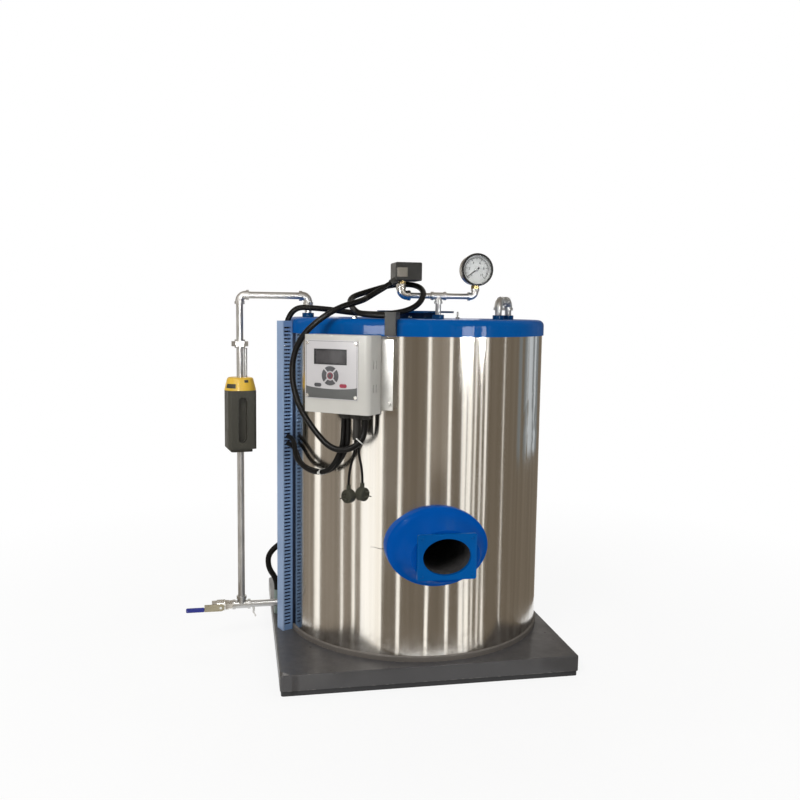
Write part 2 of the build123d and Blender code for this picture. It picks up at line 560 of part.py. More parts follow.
def build_top():
    """Gauge and switch pipework standing on the cap, and the bosses it screws into."""
    right, left = Vector(1, 0, 0), Vector(-1, 0, 0)
    up, down = Vector(0, 0, 1), Vector(0, 0, -1)
    middle = Vector(RISER_X, MANIFOLD_Y, MANIFOLD_Z)
    gauge_corner = Vector(GAUGE_X, MANIFOLD_Y, MANIFOLD_Z)
    switch_corner = Vector(SWITCH_X, MANIFOLD_Y, MANIFOLD_Z)
    pipes = [pipe((RISER_X, MANIFOLD_Y, CAP_TOP), seat(middle, down, SMALL), SMALL),
             pipe(seat(switch_corner, right, COCK), seat(middle, left, SMALL), SMALL),
             pipe(seat(middle, right, SMALL), seat(gauge_corner, left, SMALL), SMALL)]
    fittings = [tee(middle, right, down, SMALL), elbow(gauge_corner, left, up, SMALL)]

    bosses = []
    for x, y, size in ((STEAM_LEG_X, COLUMN_Y, HALF_INCH), (RISER_X, MANIFOLD_Y, SMALL),
                       (*VENT_FRONT, HALF_INCH), (*VENT_BACK, HALF_INCH)):
        ring = Circle(BOSS_R) - Circle(size.pipe + FIT_GAP)
        bosses.append(Pos(x, y, CAP_TOP) * extrude(ring, BOSS_HEIGHT))

    stem_top = GAUGE_Z - GAUGE_R
    gauge_stem = hexagon(mouth(gauge_corner, up, SMALL), (GAUGE_X, MANIFOLD_Y, stem_top), GAUGE_FLATS)
    gauge_stem += rod(seat(gauge_corner, up, SMALL), mouth(gauge_corner, up, SMALL), SMALL.pipe)
    nut_top = SWITCH_BOTTOM - SWITCH_COLLAR
    switch_stem = hexagon(mouth(switch_corner, up, COCK), (SWITCH_X, MANIFOLD_Y, nut_top), SWITCH_FLATS)
    switch_stem += rod(seat(switch_corner, up, COCK), mouth(switch_corner, up, COCK), COCK.pipe)
    collar = rod((SWITCH_X, MANIFOLD_Y, nut_top), (SWITCH_X, MANIFOLD_Y, SWITCH_BOTTOM), SWITCH_COLLAR_R)

    wide, deep, tall = SWITCH_BOX
    box = fillet(Box(wide, deep, tall).edges(), SWITCH_EDGE)
    recess = Box(SWITCH_LABEL_W, 2 * SWITCH_LABEL_T, SWITCH_LABEL_H)
    box -= Pos(SWITCH_LABEL_X, -deep / 2, SWITCH_LABEL_Z) * recess
    box = Pos(SWITCH_BOX_X, MANIFOLD_Y, SWITCH_BOTTOM + tall / 2) * box
    return {"cap_bosses": Compound(bosses), "gauge_pipes": Compound(pipes),
            "gauge_fittings": Compound(fittings), "gauge_stem": gauge_stem,
            "switch_elbow": elbow(switch_corner, right, up, COCK), "switch_nut": switch_stem,
            "switch_collar": collar, "switch_box": box}


def build_gauge():
    """Dial gauge facing the front: cup-shaped case, bezel, dial, pointer and glass."""
    def disc(radius, front, back):
        return extrude(front_plane(GAUGE_X, GAUGE_Z, front) * Circle(radius), back - front)

    face = -GAUGE_FACE_Y
    back = face - GAUGE_DEPTH
    dial_back = face - BEZEL_DEPTH - DIAL_WELL
    case = disc(GAUGE_R, face - BEZEL_DEPTH, back)
    case = fillet(case.edges().sort_by(Axis.Y)[-1], GAUGE_BACK_ROUND)
    case -= disc(DIAL_R + FIT_GAP, face, dial_back)
    dial = disc(DIAL_R, dial_back + DIAL_T, dial_back)
    glass_back = face - BEZEL_DEPTH
    bezel = disc(BEZEL_R, face, glass_back)
    bezel = fillet(bezel.edges().sort_by(Axis.Y)[0], BEZEL_ROUND)
    bezel -= disc(GLASS_R + FIT_GAP, face - BEZEL_LIP, glass_back)
    bezel -= disc(GLASS_R - BEZEL_LIP, face + 1, glass_back)
    glass = disc(GLASS_R, face - BEZEL_LIP, face - BEZEL_LIP - GLASS_T)

    turned = front_plane(GAUGE_X, GAUGE_Z, dial_back + DIAL_T) * Rot(0, 0, POINTER_ANGLE)
    butt, tip = POINTER_BUTT / 2, POINTER_TIP / 2
    needle = make_face(Polyline((-POINTER_TAIL, -butt), (POINTER_LENGTH, -tip), (POINTER_LENGTH, tip),
                                (-POINTER_TAIL, butt), close=True))
    pointer = extrude(turned * (needle + Circle(POINTER_HUB_R)), POINTER_T)
    return {"gauge_case": case, "gauge_dial": dial, "gauge_bezel": bezel, "gauge_glass": glass,
            "gauge_pointer": pointer}


def build_vent():
    """Vent bridge: an inverted U of two elbows and a nipple, standing on two bosses."""
    front, back = Vector(*VENT_FRONT, VENT_Z), Vector(*VENT_BACK, VENT_Z)
    away, down = (back - front).normalized(), Vector(0, 0, -1)
    bends = [elbow(front, away, down), elbow(back, away * -1, down)]
    legs = [pipe((*VENT_FRONT, CAP_TOP), seat(front, down)), pipe((*VENT_BACK, CAP_TOP), seat(back, down)),
            pipe(seat(front, away), seat(back, away * -1))]
    return {"vent_elbows": Compound(bends), "vent_pipes": Compound(legs)}


def build_control():
    """Control box on its steel bracket, with panel, display, keys, glands and the lead sleeve."""
    face = facing(BOX_ANGLE, BOX_FACE)
    box = Box(BOX_W, BOX_H, BOX_D)
    upright = box.edges().filter_by(Axis.Y).group_by(Axis.Z)[-1]
    box = fillet(upright, BOX_CORNER)
    inside = Box(BOX_W - 2 * BOX_SHEET, BOX_H - 2 * BOX_SHEET, BOX_D - 2 * BOX_SHEET)
    inside = fillet(inside.edges().filter_by(Axis.Y).group_by(Axis.Z)[-1], BOX_CORNER - BOX_SHEET)
    box -= inside
    for height in VENT_SLOT_VS:
        for depth in VENT_SLOT_DEPTHS:
            slot = Box(2 * BOX_SHEET + 2, VENT_SLOT_H, VENT_SLOT_W)
            box -= Pos(BOX_W / 2, height, BOX_D / 2 - depth) * slot
    box = face * Pos(0, BOX_MID, -BOX_D / 2) * box

    panel = Pos(PANEL_U, BOX_MID + PANEL_V) * RectangleRounded(PANEL_W, PANEL_H, PANEL_CORNER)
    window = Pos(DISPLAY_U, BOX_MID + DISPLAY_V) * Rectangle(DISPLAY_W, DISPLAY_H)
    plate = extrude(face * (panel - window), PANEL_T)
    display = extrude(face * window, PANEL_T - DISPLAY_SUNK)

    top = face.offset(PANEL_T) * Pos(0, BOX_MID)
    cross = Rectangle(3 * KEY_OUT_R, KEY_GAP, rotation=45) + Rectangle(3 * KEY_OUT_R, KEY_GAP, rotation=-45)
    keys = Circle(KEY_OUT_R) - Circle(KEY_IN_R) - cross
    keys += Circle(KEY_CENTRE_R)
    keys = Pos(KEYS_U, KEYS_V) * keys
    keys += Pos(START_U, BUTTON_V) * SlotOverall(BUTTON_W, BUTTON_H)
    keypad = extrude(top * keys, KEY_T)
    stop = extrude(top * Pos(STOP_U, BUTTON_V) * SlotOverall(BUTTON_W, BUTTON_H), KEY_T)

    bracket_w, bracket_h = BRACKET_RIGHT - BRACKET_LEFT, BOX_H - 2 * BRACKET_MARGIN
    middle = Pos((BRACKET_LEFT + BRACKET_RIGHT) / 2, BOX_MID)
    hat = Rectangle(bracket_w, bracket_h)
    bracket = extrude(face.offset(-BOX_D) * middle * hat, -BRACKET_SHEET)
    foot = BOX_FACE - BOX_D - JACKET_R / 2
    legs_w = bracket_w - 2 * BRACKET_LEG_INSET
    legs = Rectangle(legs_w, bracket_h) - Rectangle(legs_w - 2 * BRACKET_SHEET, bracket_h)
    bracket += extrude(face.offset(-BOX_D) * middle * legs, -foot)
    bracket -= extrude(Circle(JACKET_R + FIT_GAP), CAP_TOP)

    glands = []
    for u, radius in zip(GLAND_US, GLAND_RADII):
        spot = (face * Pos(u, BOX_BOTTOM, GLAND_DEPTH)).position
        glands.append(hexagon(spot - Vector(0, 0, GLAND_HEIGHT), spot, 2 * radius))
    spot = (face * Pos(GLAND_US[1], BOX_BOTTOM, GLAND_DEPTH)).position
    glands[1] += rod(spot - Vector(0, 0, GLAND_HEIGHT + SLEEVE_LENGTH), spot, SLEEVE_R)
    return {"control_box": box, "control_panel": plate, "control_display": display, "control_keys": keypad,
            "stop_button": stop, "control_bracket": bracket, "control_glands": Compound(glands)}


def build_entry():
    """Cable entry hooked over the cap's rim, to the right of the control box."""
    plane = facing(ENTRY_ANGLE, 0)
    inner = CAP_R + FIT_GAP
    drop = Pos(0, (ENTRY_BOTTOM + ENTRY_TOP) / 2, (inner + ENTRY_OUT) / 2)
    drop *= Box(ENTRY_W, ENTRY_TOP - ENTRY_BOTTOM, ENTRY_OUT - inner)
    arm = Pos(0, (CAP_TOP + ENTRY_TOP) / 2, (ENTRY_IN + ENTRY_OUT) / 2)
    arm *= Box(ENTRY_W, ENTRY_TOP - CAP_TOP, ENTRY_OUT - ENTRY_IN)
    entry = plane * (drop + arm)
    entry -= extrude(Circle(CAP_R + FIT_GAP), CAP_TOP)
    return {"cable_entry": entry}


def box_point(place):
    """Point in the control box's frame: to the right of its middle, from its face and from its bottom."""
    right, depth, height = place
    return facing(BOX_ANGLE, BOX_FACE).from_local_coords(Vector(right, BOX_BOTTOM + height, depth))


def cap_point(place):
    """Point over the cap: angle from the front, out from the rim and up from the cap."""
    angle, out, up = place
    return at(angle, CAP_R + out, CAP_TOP + up)


def swag_point(place):
    """Point round the jacket: angle from the front, out from the jacket and from the box's bottom."""
    angle, out, height = place
    return at(angle, JACKET_R + out, BOX_BOTTOM + height)


def cord(name, points, diameter):
    """Plain tube along straight runs and tangent arcs, each bend as wide as its runs allow."""
    radii = []
    for before, here, after in zip(points, points[1:], points[2:]):
        turn = radians((here - before).get_angle(after - here))
        radii.append(BEND_SHARE * min((here - before).length, (after - here).length) / tan(turn / 2))
    route = FilletPolyline(*points, radius=radii)
    tube_solid = sweep(Plane(origin=route @ 0, z_dir=route % 0) * Circle(diameter / 2), path=route)
    section = pi * diameter ** 2 / 4
    print(name, "length", round(route.length), "radii", [round(r) for r in radii],
          "volume share", round(tube_solid.volume / (section * route.length), 3))
    return tube_solid


def build_box_cables():
    """Conduit from the control box over the rim to the switch's own gland, and the bundle to the duct."""
    wide, deep, tall = SWITCH_BOX
    switch = Pos(SWITCH_BOX_X, MANIFOLD_Y, SWITCH_BOTTOM + tall / 2) * Box(wide, deep, tall)
    way = Vector(SWITCH_GLAND_WAY).normalized()
    gland_from = Vector(SWITCH_BOX_X + SWITCH_GLAND_X, MANIFOLD_Y + SWITCH_GLAND_Y, SWITCH_BOTTOM)
    gland_from += Vector(0, 0, SWITCH_GLAND_SUNK)
    gland_end = gland_from + way * SWITCH_GLAND_LENGTH
    gland = rod(gland_from, gland_end, SWITCH_GLAND_R) - switch

    conduit = [box_point((GLAND_US[2], GLAND_DEPTH, -GLAND_HEIGHT))]
    conduit += [box_point(place) for place in BOX_LOOP]
    conduit += [cap_point(place) for place in BOX_OVER_RIM]
    conduit += [gland_end + way * SWITCH_RUN, gland_end]

    cables = {"switch_gland": gland, "box_conduit": cord("box_conduit", conduit, CONDUIT_D)}

    for name, shift in (("bundle_outer_cable", BUNDLE_HALF), ("bundle_inner_cable", -BUNDLE_HALF)):
        cables[name] = cord(name, bundle_route(shift), BUNDLE_D)
    return cables


def bundle_route(shift):
    """One bundle cable: beside the other at the gland, outside it on the swag and above it at the comb."""
    right, depth, height = BUNDLE_DROP
    points = [box_point((GLAND_US[0] - shift, GLAND_DEPTH, -GLAND_HEIGHT)),
              box_point((GLAND_US[0] - shift, GLAND_DEPTH, BUNDLE_OUT)),
              box_point((right - shift, depth + shift, height))]
    lifts = (0, 0, shift)
    for (angle, out, fall), lift in zip(BUNDLE_SWAG, lifts):
        points.append(swag_point((angle, out + shift, fall + lift)))
    corner = at(DUCT_CORNER_ANGLE, DUCT_CORNER_R)
    rise = SLOT_PITCH * shift / BUNDLE_HALF
    for off in (FIT_GAP + BUNDLE_RUN, FIT_GAP):
        place = Vector(off, BOX_BOTTOM + BUNDLE_END + rise, BUNDLE_END_DEPTH)
        points.append(corner + facing(DUCT_ANGLE, 0).from_local_coords(place))
    return points


def build_duct_cable():
    """Conduit that rises from the duct, coils round the switch and ends in the cable entry."""
    duct = facing(DUCT_ANGLE, 0)
    corner = at(DUCT_CORNER_ANGLE, DUCT_CORNER_R)
    low = corner + duct.from_local_coords(Vector(-DUCT_W / 2, DUCT_TOP + DUCT_CONDUIT_IN, DUCT_D / 2))
    high = corner + duct.from_local_coords(Vector(-DUCT_W / 2, DUCT_TOP + DUCT_CONDUIT_UP, DUCT_D / 2))
    inlet_z = (CAP_TOP + ENTRY_TOP) / 2
    entry = facing(ENTRY_ANGLE, CAP_R - INLET_INSET)
    inlet = entry.from_local_coords(Vector(-ENTRY_W / 2, inlet_z, 0))
    before_inlet = entry.from_local_coords(Vector(-ENTRY_W / 2 - INLET_RUN, inlet_z, 0))
    coil = [Vector(0, MANIFOLD_Y, MANIFOLD_Z) + Vector(place) for place in DUCT_COIL]
    points = [low, high] + [cap_point(place) for place in DUCT_OVER_CAP] + coil + [before_inlet, inlet]
    return {"duct_conduit": cord("duct_conduit", points, CONDUIT_D)}


def build_leads():
    """Two leads that hang from the sleeve side by side, each with its plug."""
    leads = {}
    plugs = []
    sides = (("left", -1, LEFT_LEAD, LEFT_PLUG, LEFT_PLUG_ANGLE),
             ("right", 1, RIGHT_LEAD, RIGHT_PLUG, RIGHT_PLUG_ANGLE))
    for side, sign, turns, end, angle in sides:
        start = (GLAND_US[1] + sign * LEAD_SPREAD / 2, GLAND_DEPTH, -GLAND_HEIGHT - SLEEVE_LENGTH)
        name = f"plug_lead_{side}"
        leads[name] = cord(name, [box_point(place) for place in (start, *turns, end)], LEAD_D)
        plugs.append(plug(box_point(end), angle))
    return {**leads, "lead_plugs": Compound(plugs)}


def plug(top, angle):
    """Right-angle mains plug hanging from its lead, its pins facing out at an angle."""
    neck = rod(top - Vector(0, 0, PLUG_NECK + PLUG_R / 2), top, PLUG_NECK_R)
    middle = top - Vector(0, 0, PLUG_NECK + PLUG_R)
    right = Vector(cos(radians(angle)), sin(radians(angle)), 0)
    face = Plane(origin=middle + at(angle, PLUG_DEPTH / 2), x_dir=right, z_dir=at(angle, 1))
    body = extrude(face * Circle(PLUG_R), -PLUG_DEPTH)
    body = fillet(body.edges().filter_by(GeomType.CIRCLE), PLUG_EDGE) + neck
    pins = Sketch() + PolarLocations(PIN_SPREAD / 2, 3, 90) * Rectangle(PIN_W, PIN_T)
    return body + extrude(face * pins, PIN_LENGTH)


def feed_nipple(grow):
    """Stub in the jacket that the feed hose is pushed on."""
    end, way = Vector(FEED_INLET), Vector(FEED_SLOPE).normalized()
    return rod(end, end + way * NIPPLE_LENGTH, FEED_R + grow)


def build_feed():
    """Feed pipe standing on the tray behind the duct, the nipple in the jacket and the hose between them."""
    foot, top = Vector(FEED_X, FEED_Y, BASE_TOP), Vector(FEED_X, FEED_Y, FEED_TOP)
    hose = [top] + [top + Vector(place) for place in HOSE_BULGE] + [Vector(FEED_INLET)]
    return {"feed_pipe": Compound([rod(foot, top, FEED_R), feed_nipple(0)]),
            "feed_hose": cord("feed_hose", hose, HOSE_D)}


def main():
    os.makedirs("parts", exist_ok=True)
    pieces = {}
    builders = (build_base, build_body, build_burner, build_duct, build_column, build_drain, build_top,
                build_gauge, build_vent, build_control, build_entry, build_feed, build_box_cables,
                build_duct_cable, build_leads)
    for build in builders:
        pieces.update(build())
    for name, shape in pieces.items():
        export_step(shape, f"parts/{name}.step")


main()
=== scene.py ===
"""Looks of the upright steam boiler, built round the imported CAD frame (metres, +Z up, burner towards -Y)."""
import json
import math

import bmesh
import bpy
from mathutils import Matrix, Vector


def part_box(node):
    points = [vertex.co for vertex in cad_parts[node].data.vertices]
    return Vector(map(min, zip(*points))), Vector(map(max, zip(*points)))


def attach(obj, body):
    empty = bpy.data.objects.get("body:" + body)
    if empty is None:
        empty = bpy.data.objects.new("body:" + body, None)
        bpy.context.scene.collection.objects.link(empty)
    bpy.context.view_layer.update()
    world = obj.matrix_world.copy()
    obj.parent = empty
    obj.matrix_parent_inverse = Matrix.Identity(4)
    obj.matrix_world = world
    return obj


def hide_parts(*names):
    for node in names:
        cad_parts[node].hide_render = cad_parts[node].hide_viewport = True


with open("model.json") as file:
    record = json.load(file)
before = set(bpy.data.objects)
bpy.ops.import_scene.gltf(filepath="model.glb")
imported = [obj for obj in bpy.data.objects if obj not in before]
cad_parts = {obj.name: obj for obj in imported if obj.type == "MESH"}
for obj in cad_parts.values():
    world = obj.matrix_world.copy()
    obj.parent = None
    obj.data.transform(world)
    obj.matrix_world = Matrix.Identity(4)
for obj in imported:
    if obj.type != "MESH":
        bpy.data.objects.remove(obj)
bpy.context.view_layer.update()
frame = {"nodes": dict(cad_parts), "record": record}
NODES = frame["nodes"]
BODY = "boiler"
MM = 0.001
SQUARE = ((-1, -1), (1, -1), (1, 1), (-1, 1))
FRONT = (0, -1, 0)


def turns(count):
    """Angles of a full turn in even steps."""
    return [2 * math.pi * i / count for i in range(count)]


# Materials

class Graph:
    """Wires up one procedural material round a principled shader."""

    def __init__(self, name):
        self.mat = bpy.data.materials.new(name)
        self.mat.use_nodes = True
        self.tree = self.mat.node_tree
        self.bsdf = self.tree.nodes["Principled BSDF"]
        self.place = self.add("ShaderNodeTexCoord").outputs["Object"]
        self.geometry = self.add("ShaderNodeNewGeometry")

    def add(self, kind, **settings):
        node = self.tree.nodes.new(kind)
        for key, value in settings.items():
            setattr(node, key, value)
        return node

    def feed(self, value, socket):
        if isinstance(value, bpy.types.NodeSocket):
            self.tree.links.new(value, socket)
        else:
            socket.default_value = value

    def stretched(self, scale):
        node = self.add("ShaderNodeMapping")
        self.feed(self.place, node.inputs["Vector"])
        node.inputs["Scale"].default_value = scale
        return node.outputs["Vector"]

    def noise(self, scale, detail=3.0, stretch=None, rough=0.5, warp=0.0):
        node = self.add("ShaderNodeTexNoise")
        self.feed(self.stretched(stretch) if stretch else self.place, node.inputs["Vector"])
        node.inputs["Scale"].default_value = scale
        node.inputs["Detail"].default_value = detail
        node.inputs["Roughness"].default_value = rough
        node.inputs["Distortion"].default_value = warp
        return node.outputs["Fac"]

    def cells(self, scale, output="Color"):
        node = self.add("ShaderNodeTexVoronoi")
        self.feed(self.place, node.inputs["Vector"])
        node.inputs["Scale"].default_value = scale
        return node.outputs[output]

    def span(self, value, low, high, to_low=0.0, to_high=1.0):
        node = self.add("ShaderNodeMapRange", clamp=True)
        for socket, number in zip(node.inputs, (value, low, high, to_low, to_high)):
            self.feed(number, socket)
        return node.outputs["Result"]

    def maths(self, operation, one, two):
        node = self.add("ShaderNodeMath", operation=operation)
        self.feed(one, node.inputs[0])
        self.feed(two, node.inputs[1])
        return node.outputs["Value"]

    def mix(self, share, one, two):
        node = self.add("ShaderNodeMix", data_type="RGBA")
        self.feed(share, node.inputs["Factor"])
        for value, socket in ((one, node.inputs[6]), (two, node.inputs[7])):
            self.feed(value if isinstance(value, bpy.types.NodeSocket) else (*value, 1.0), socket)
        return node.outputs[2]

    def axis(self, name, vector=None):
        node = self.add("ShaderNodeSeparateXYZ")
        self.feed(vector or self.place, node.inputs["Vector"])
        return node.outputs[name]

    def edges(self, radius, gain=6.0):
        """Share that is high along edges, from how far a rounded normal turns away."""
        bevel = self.add("ShaderNodeBevel", samples=4)
        bevel.inputs["Radius"].default_value = radius
        dot = self.add("ShaderNodeVectorMath", operation="DOT_PRODUCT")
        self.feed(bevel.outputs["Normal"], dot.inputs[0])
        self.feed(self.geometry.outputs["Normal"], dot.inputs[1])
        return self.maths("MULTIPLY", self.maths("SUBTRACT", 1.0, dot.outputs["Value"]), gain)

    def bump(self, height, distance, strength=1.0, under=None):
        node = self.add("ShaderNodeBump")
        self.feed(height, node.inputs["Height"])
        node.inputs["Distance"].default_value = distance
        node.inputs["Strength"].default_value = strength
        if under is not None:
            self.feed(under, node.inputs["Normal"])
        return node.outputs["Normal"]

    def shade(self, **sockets):
        for key, value in sockets.items():
            socket = self.bsdf.inputs[key.replace("_", " ")]
            if isinstance(value, tuple) and len(value) == 3:
                value = (*value, 1.0)
            self.feed(value, socket)
        return self.mat


def scaled(colour, factor):
    return tuple(min(1.0, c * factor) for c in colour)


def painted(name, colour, rough=0.35, coat=0.0, peel=0.00012, chip=None, dust=0.12, shine=0.3):
    """Sprayed paint: orange peel, cloudy tone, dust on top faces and chips along the edges."""
    g = Graph(name)
    cloud = g.span(g.noise(5.0, 4.0), 0.3, 0.7)
    tone = g.mix(cloud, scaled(colour, 0.9), scaled(colour, 1.1))
    up = g.span(g.axis("Z", g.geometry.outputs["Normal"]), 0.6, 1.0)
    grains = g.span(g.noise(38.0, 5.0, rough=0.65), 0.42, 0.72)
    tone = g.mix(g.maths("MULTIPLY", g.maths("MULTIPLY", up, grains), dust), tone, (0.55, 0.52, 0.47))
    if chip:
        worn = g.maths("MULTIPLY", g.edges(0.003), g.span(g.noise(60.0, 4.0), 0.52, 0.6))
        tone = g.mix(worn, tone, chip)
    peeled = g.bump(g.noise(420.0, 2.0), peel, 0.6)
    marks = g.span(g.noise(22.0, 5.0, rough=0.7), 0.3, 0.75, rough * 0.8, min(1.0, rough * 1.35))
    return g.shade(Base_Color=tone, Roughness=marks, Normal=peeled, Coat_Weight=coat, Coat_Roughness=0.04,
                   Specular_IOR_Level=shine)


def plastic(name, colour, rough=0.45, grain=0.00008, scale=900.0, spread=0.08):
    """Moulded plastic: fine spark-eroded grain, slight tone and gloss variation, scuffed edges."""
    g = Graph(name)
    cloud = g.span(g.noise(9.0, 4.0), 0.3, 0.7)
    tone = g.mix(cloud, scaled(colour, 1 - spread), scaled(colour, 1 + spread))
    scuff = g.maths("MULTIPLY", g.edges(0.0016, 3.0), g.span(g.noise(90.0, 3.0), 0.45, 0.65))
    tone = g.mix(scuff, tone, tuple(0.7 * c + 0.12 for c in colour))
    gloss = g.span(g.noise(30.0, 4.0), 0.3, 0.7, rough * 0.85, min(1.0, rough * 1.2))
    return g.shade(Base_Color=tone, Roughness=gloss, Normal=g.bump(g.noise(scale, 2.0), grain, 0.5),
                   Specular_IOR_Level=0.35)


def metal(name, colour, rough=0.3, spangle=0.0, cast=0.0, stain=None):
    """Bare metal: spangle cells for galvanised pipe, lumps for castings and stains."""
    g = Graph(name)
    tone = g.mix(g.span(g.noise(14.0, 4.0), 0.3, 0.7), scaled(colour, 0.85), scaled(colour, 1.08))
    gloss = g.span(g.noise(35.0, 4.0, rough=0.65), 0.3, 0.7, rough * 0.75, min(1.0, rough * 1.35))
    height = g.noise(260.0, 3.0)
    if spangle:
        flakes = g.axis("X", g.cells(170.0))
        tone = g.mix(g.maths("MULTIPLY", flakes, spangle), tone, scaled(colour, 0.55))
    if stain:
        blot = g.span(g.noise(45.0, 6.0, rough=0.7), 0.54, 0.72)
        tone = g.mix(g.maths("MULTIPLY", blot, 0.7), tone, stain)
    normal = g.bump(height, 0.00002 if spangle else 0.00006, 0.5)
    if cast:
        normal = g.bump(g.noise(420.0, 2.0), cast, 0.5, normal)
    return g.shade(Base_Color=tone, Roughness=gloss, Metallic=1.0, Normal=normal)


def rubber(name, colour, rough=0.5):
    """Cable sheath or rubber: dusty black with a faint mottled sheen."""
    g = Graph(name)
    dust = g.span(g.noise(26.0, 6.0, rough=0.7), 0.5, 0.8, 0.0, 0.18)
    tone = g.mix(dust, colour, tuple(c * 1.4 + 0.05 for c in colour))
    gloss = g.span(g.noise(70.0, 4.0), 0.3, 0.7, rough * 0.8, rough * 1.25)
    return g.shade(Base_Color=tone, Roughness=gloss, Normal=g.bump(g.noise(650.0, 2.0), 0.00008, 0.5),
                   Specular_IOR_Level=0.14)


DENT = (0.342, -0.208, 0.70)


def stainless(name):
    """Bright rolled sheet: reflections drawn out up and down, upright light and dark bands in the tone as
    painted reflection streaks, a slow wave, smears, grime below and a dent.
    """
    g = Graph(name)
    # Upright streaks of lighter and darker tone: painted reflection streaks in the sheet's colour
    painted_reflection_bands = g.noise(1.0, 3.0, stretch=(34.0, 34.0, 0.3))
    smear = g.noise(7.0, 5.0, rough=0.65)
    tone = g.mix(g.span(painted_reflection_bands, 0.35, 0.65), (0.66, 0.63, 0.58), (0.80, 0.78, 0.74))
    low = g.span(g.axis("Z"), 0.075, 0.15, 1.0, 0.0)
    grime = g.maths("MULTIPLY", low, g.span(g.noise(30.0, 5.0), 0.4, 0.7, 0.0, 0.7))
    tone = g.mix(grime, tone, (0.25, 0.21, 0.17))
    gloss = g.span(smear, 0.3, 0.75, 0.13, 0.17)
    wave = g.bump(g.noise(1.0, 1.0, stretch=(6.0, 6.0, 1.2)), 0.0024, 0.5)
    roll = g.bump(g.noise(1.0, 2.0, stretch=(90.0, 90.0, 0.5)), 0.00010, 0.5, wave)
    away = g.add("ShaderNodeVectorMath", operation="DISTANCE")
    g.feed(g.place, away.inputs[0])
    away.inputs[1].default_value = DENT
    near = g.span(away.outputs["Value"], 0.03, 0.13, 1.0, 0.0)
    crease = g.maths("MULTIPLY", near, g.noise(1.0, 1.0, stretch=(18.0, 18.0, 11.0), warp=0.5))
    dented = g.bump(crease, 0.005, 0.5, roll)
    round_about = g.add("ShaderNodeTangent", direction_type="RADIAL", axis="Z")
    return g.shade(Base_Color=tone, Roughness=gloss, Metallic=1.0, Normal=dented, Anisotropic=0.9,
                   Anisotropic_Rotation=0.25, Tangent=round_about.outputs["Tangent"])


def clear_glass(name):
    g = Graph(name)
    smear = g.span(g.noise(60.0, 4.0), 0.3, 0.8, 0.0, 0.06)
    return g.shade(Base_Color=(0.97, 0.98, 0.98), Roughness=smear, Transmission_Weight=1.0, IOR=1.3)


def screen(name):
    """Blank display: dark film with a faint cell pattern."""
    g = Graph(name)
    cell = g.span(g.cells(900.0, output="Distance"), 0.0, 0.6)
    tone = g.mix(cell, (0.045, 0.043, 0.048), (0.065, 0.063, 0.068))
    tone = g.mix(g.span(g.noise(18.0, 3.0), 0.4, 0.7), tone, (0.095, 0.092, 0.098))
    return g.shade(Base_Color=tone, Roughness=0.18, Coat_Weight=0.4, Coat_Roughness=0.05)


def soot(name, colour):
    """Fired lining: pitted, sooty, a little rust where it is thin."""
    g = Graph(name)
    tone = g.mix(g.span(g.noise(40.0, 6.0, rough=0.7), 0.35, 0.7), colour, scaled(colour, 2.2))
    rust = g.span(g.noise(75.0, 5.0, rough=0.7), 0.6, 0.75)
    tone = g.mix(g.maths("MULTIPLY", rust, 0.5), tone, (0.10, 0.045, 0.018))
    return g.shade(Base_Color=tone, Roughness=0.85, Normal=g.bump(g.noise(300.0, 4.0), 0.0006, 0.7))


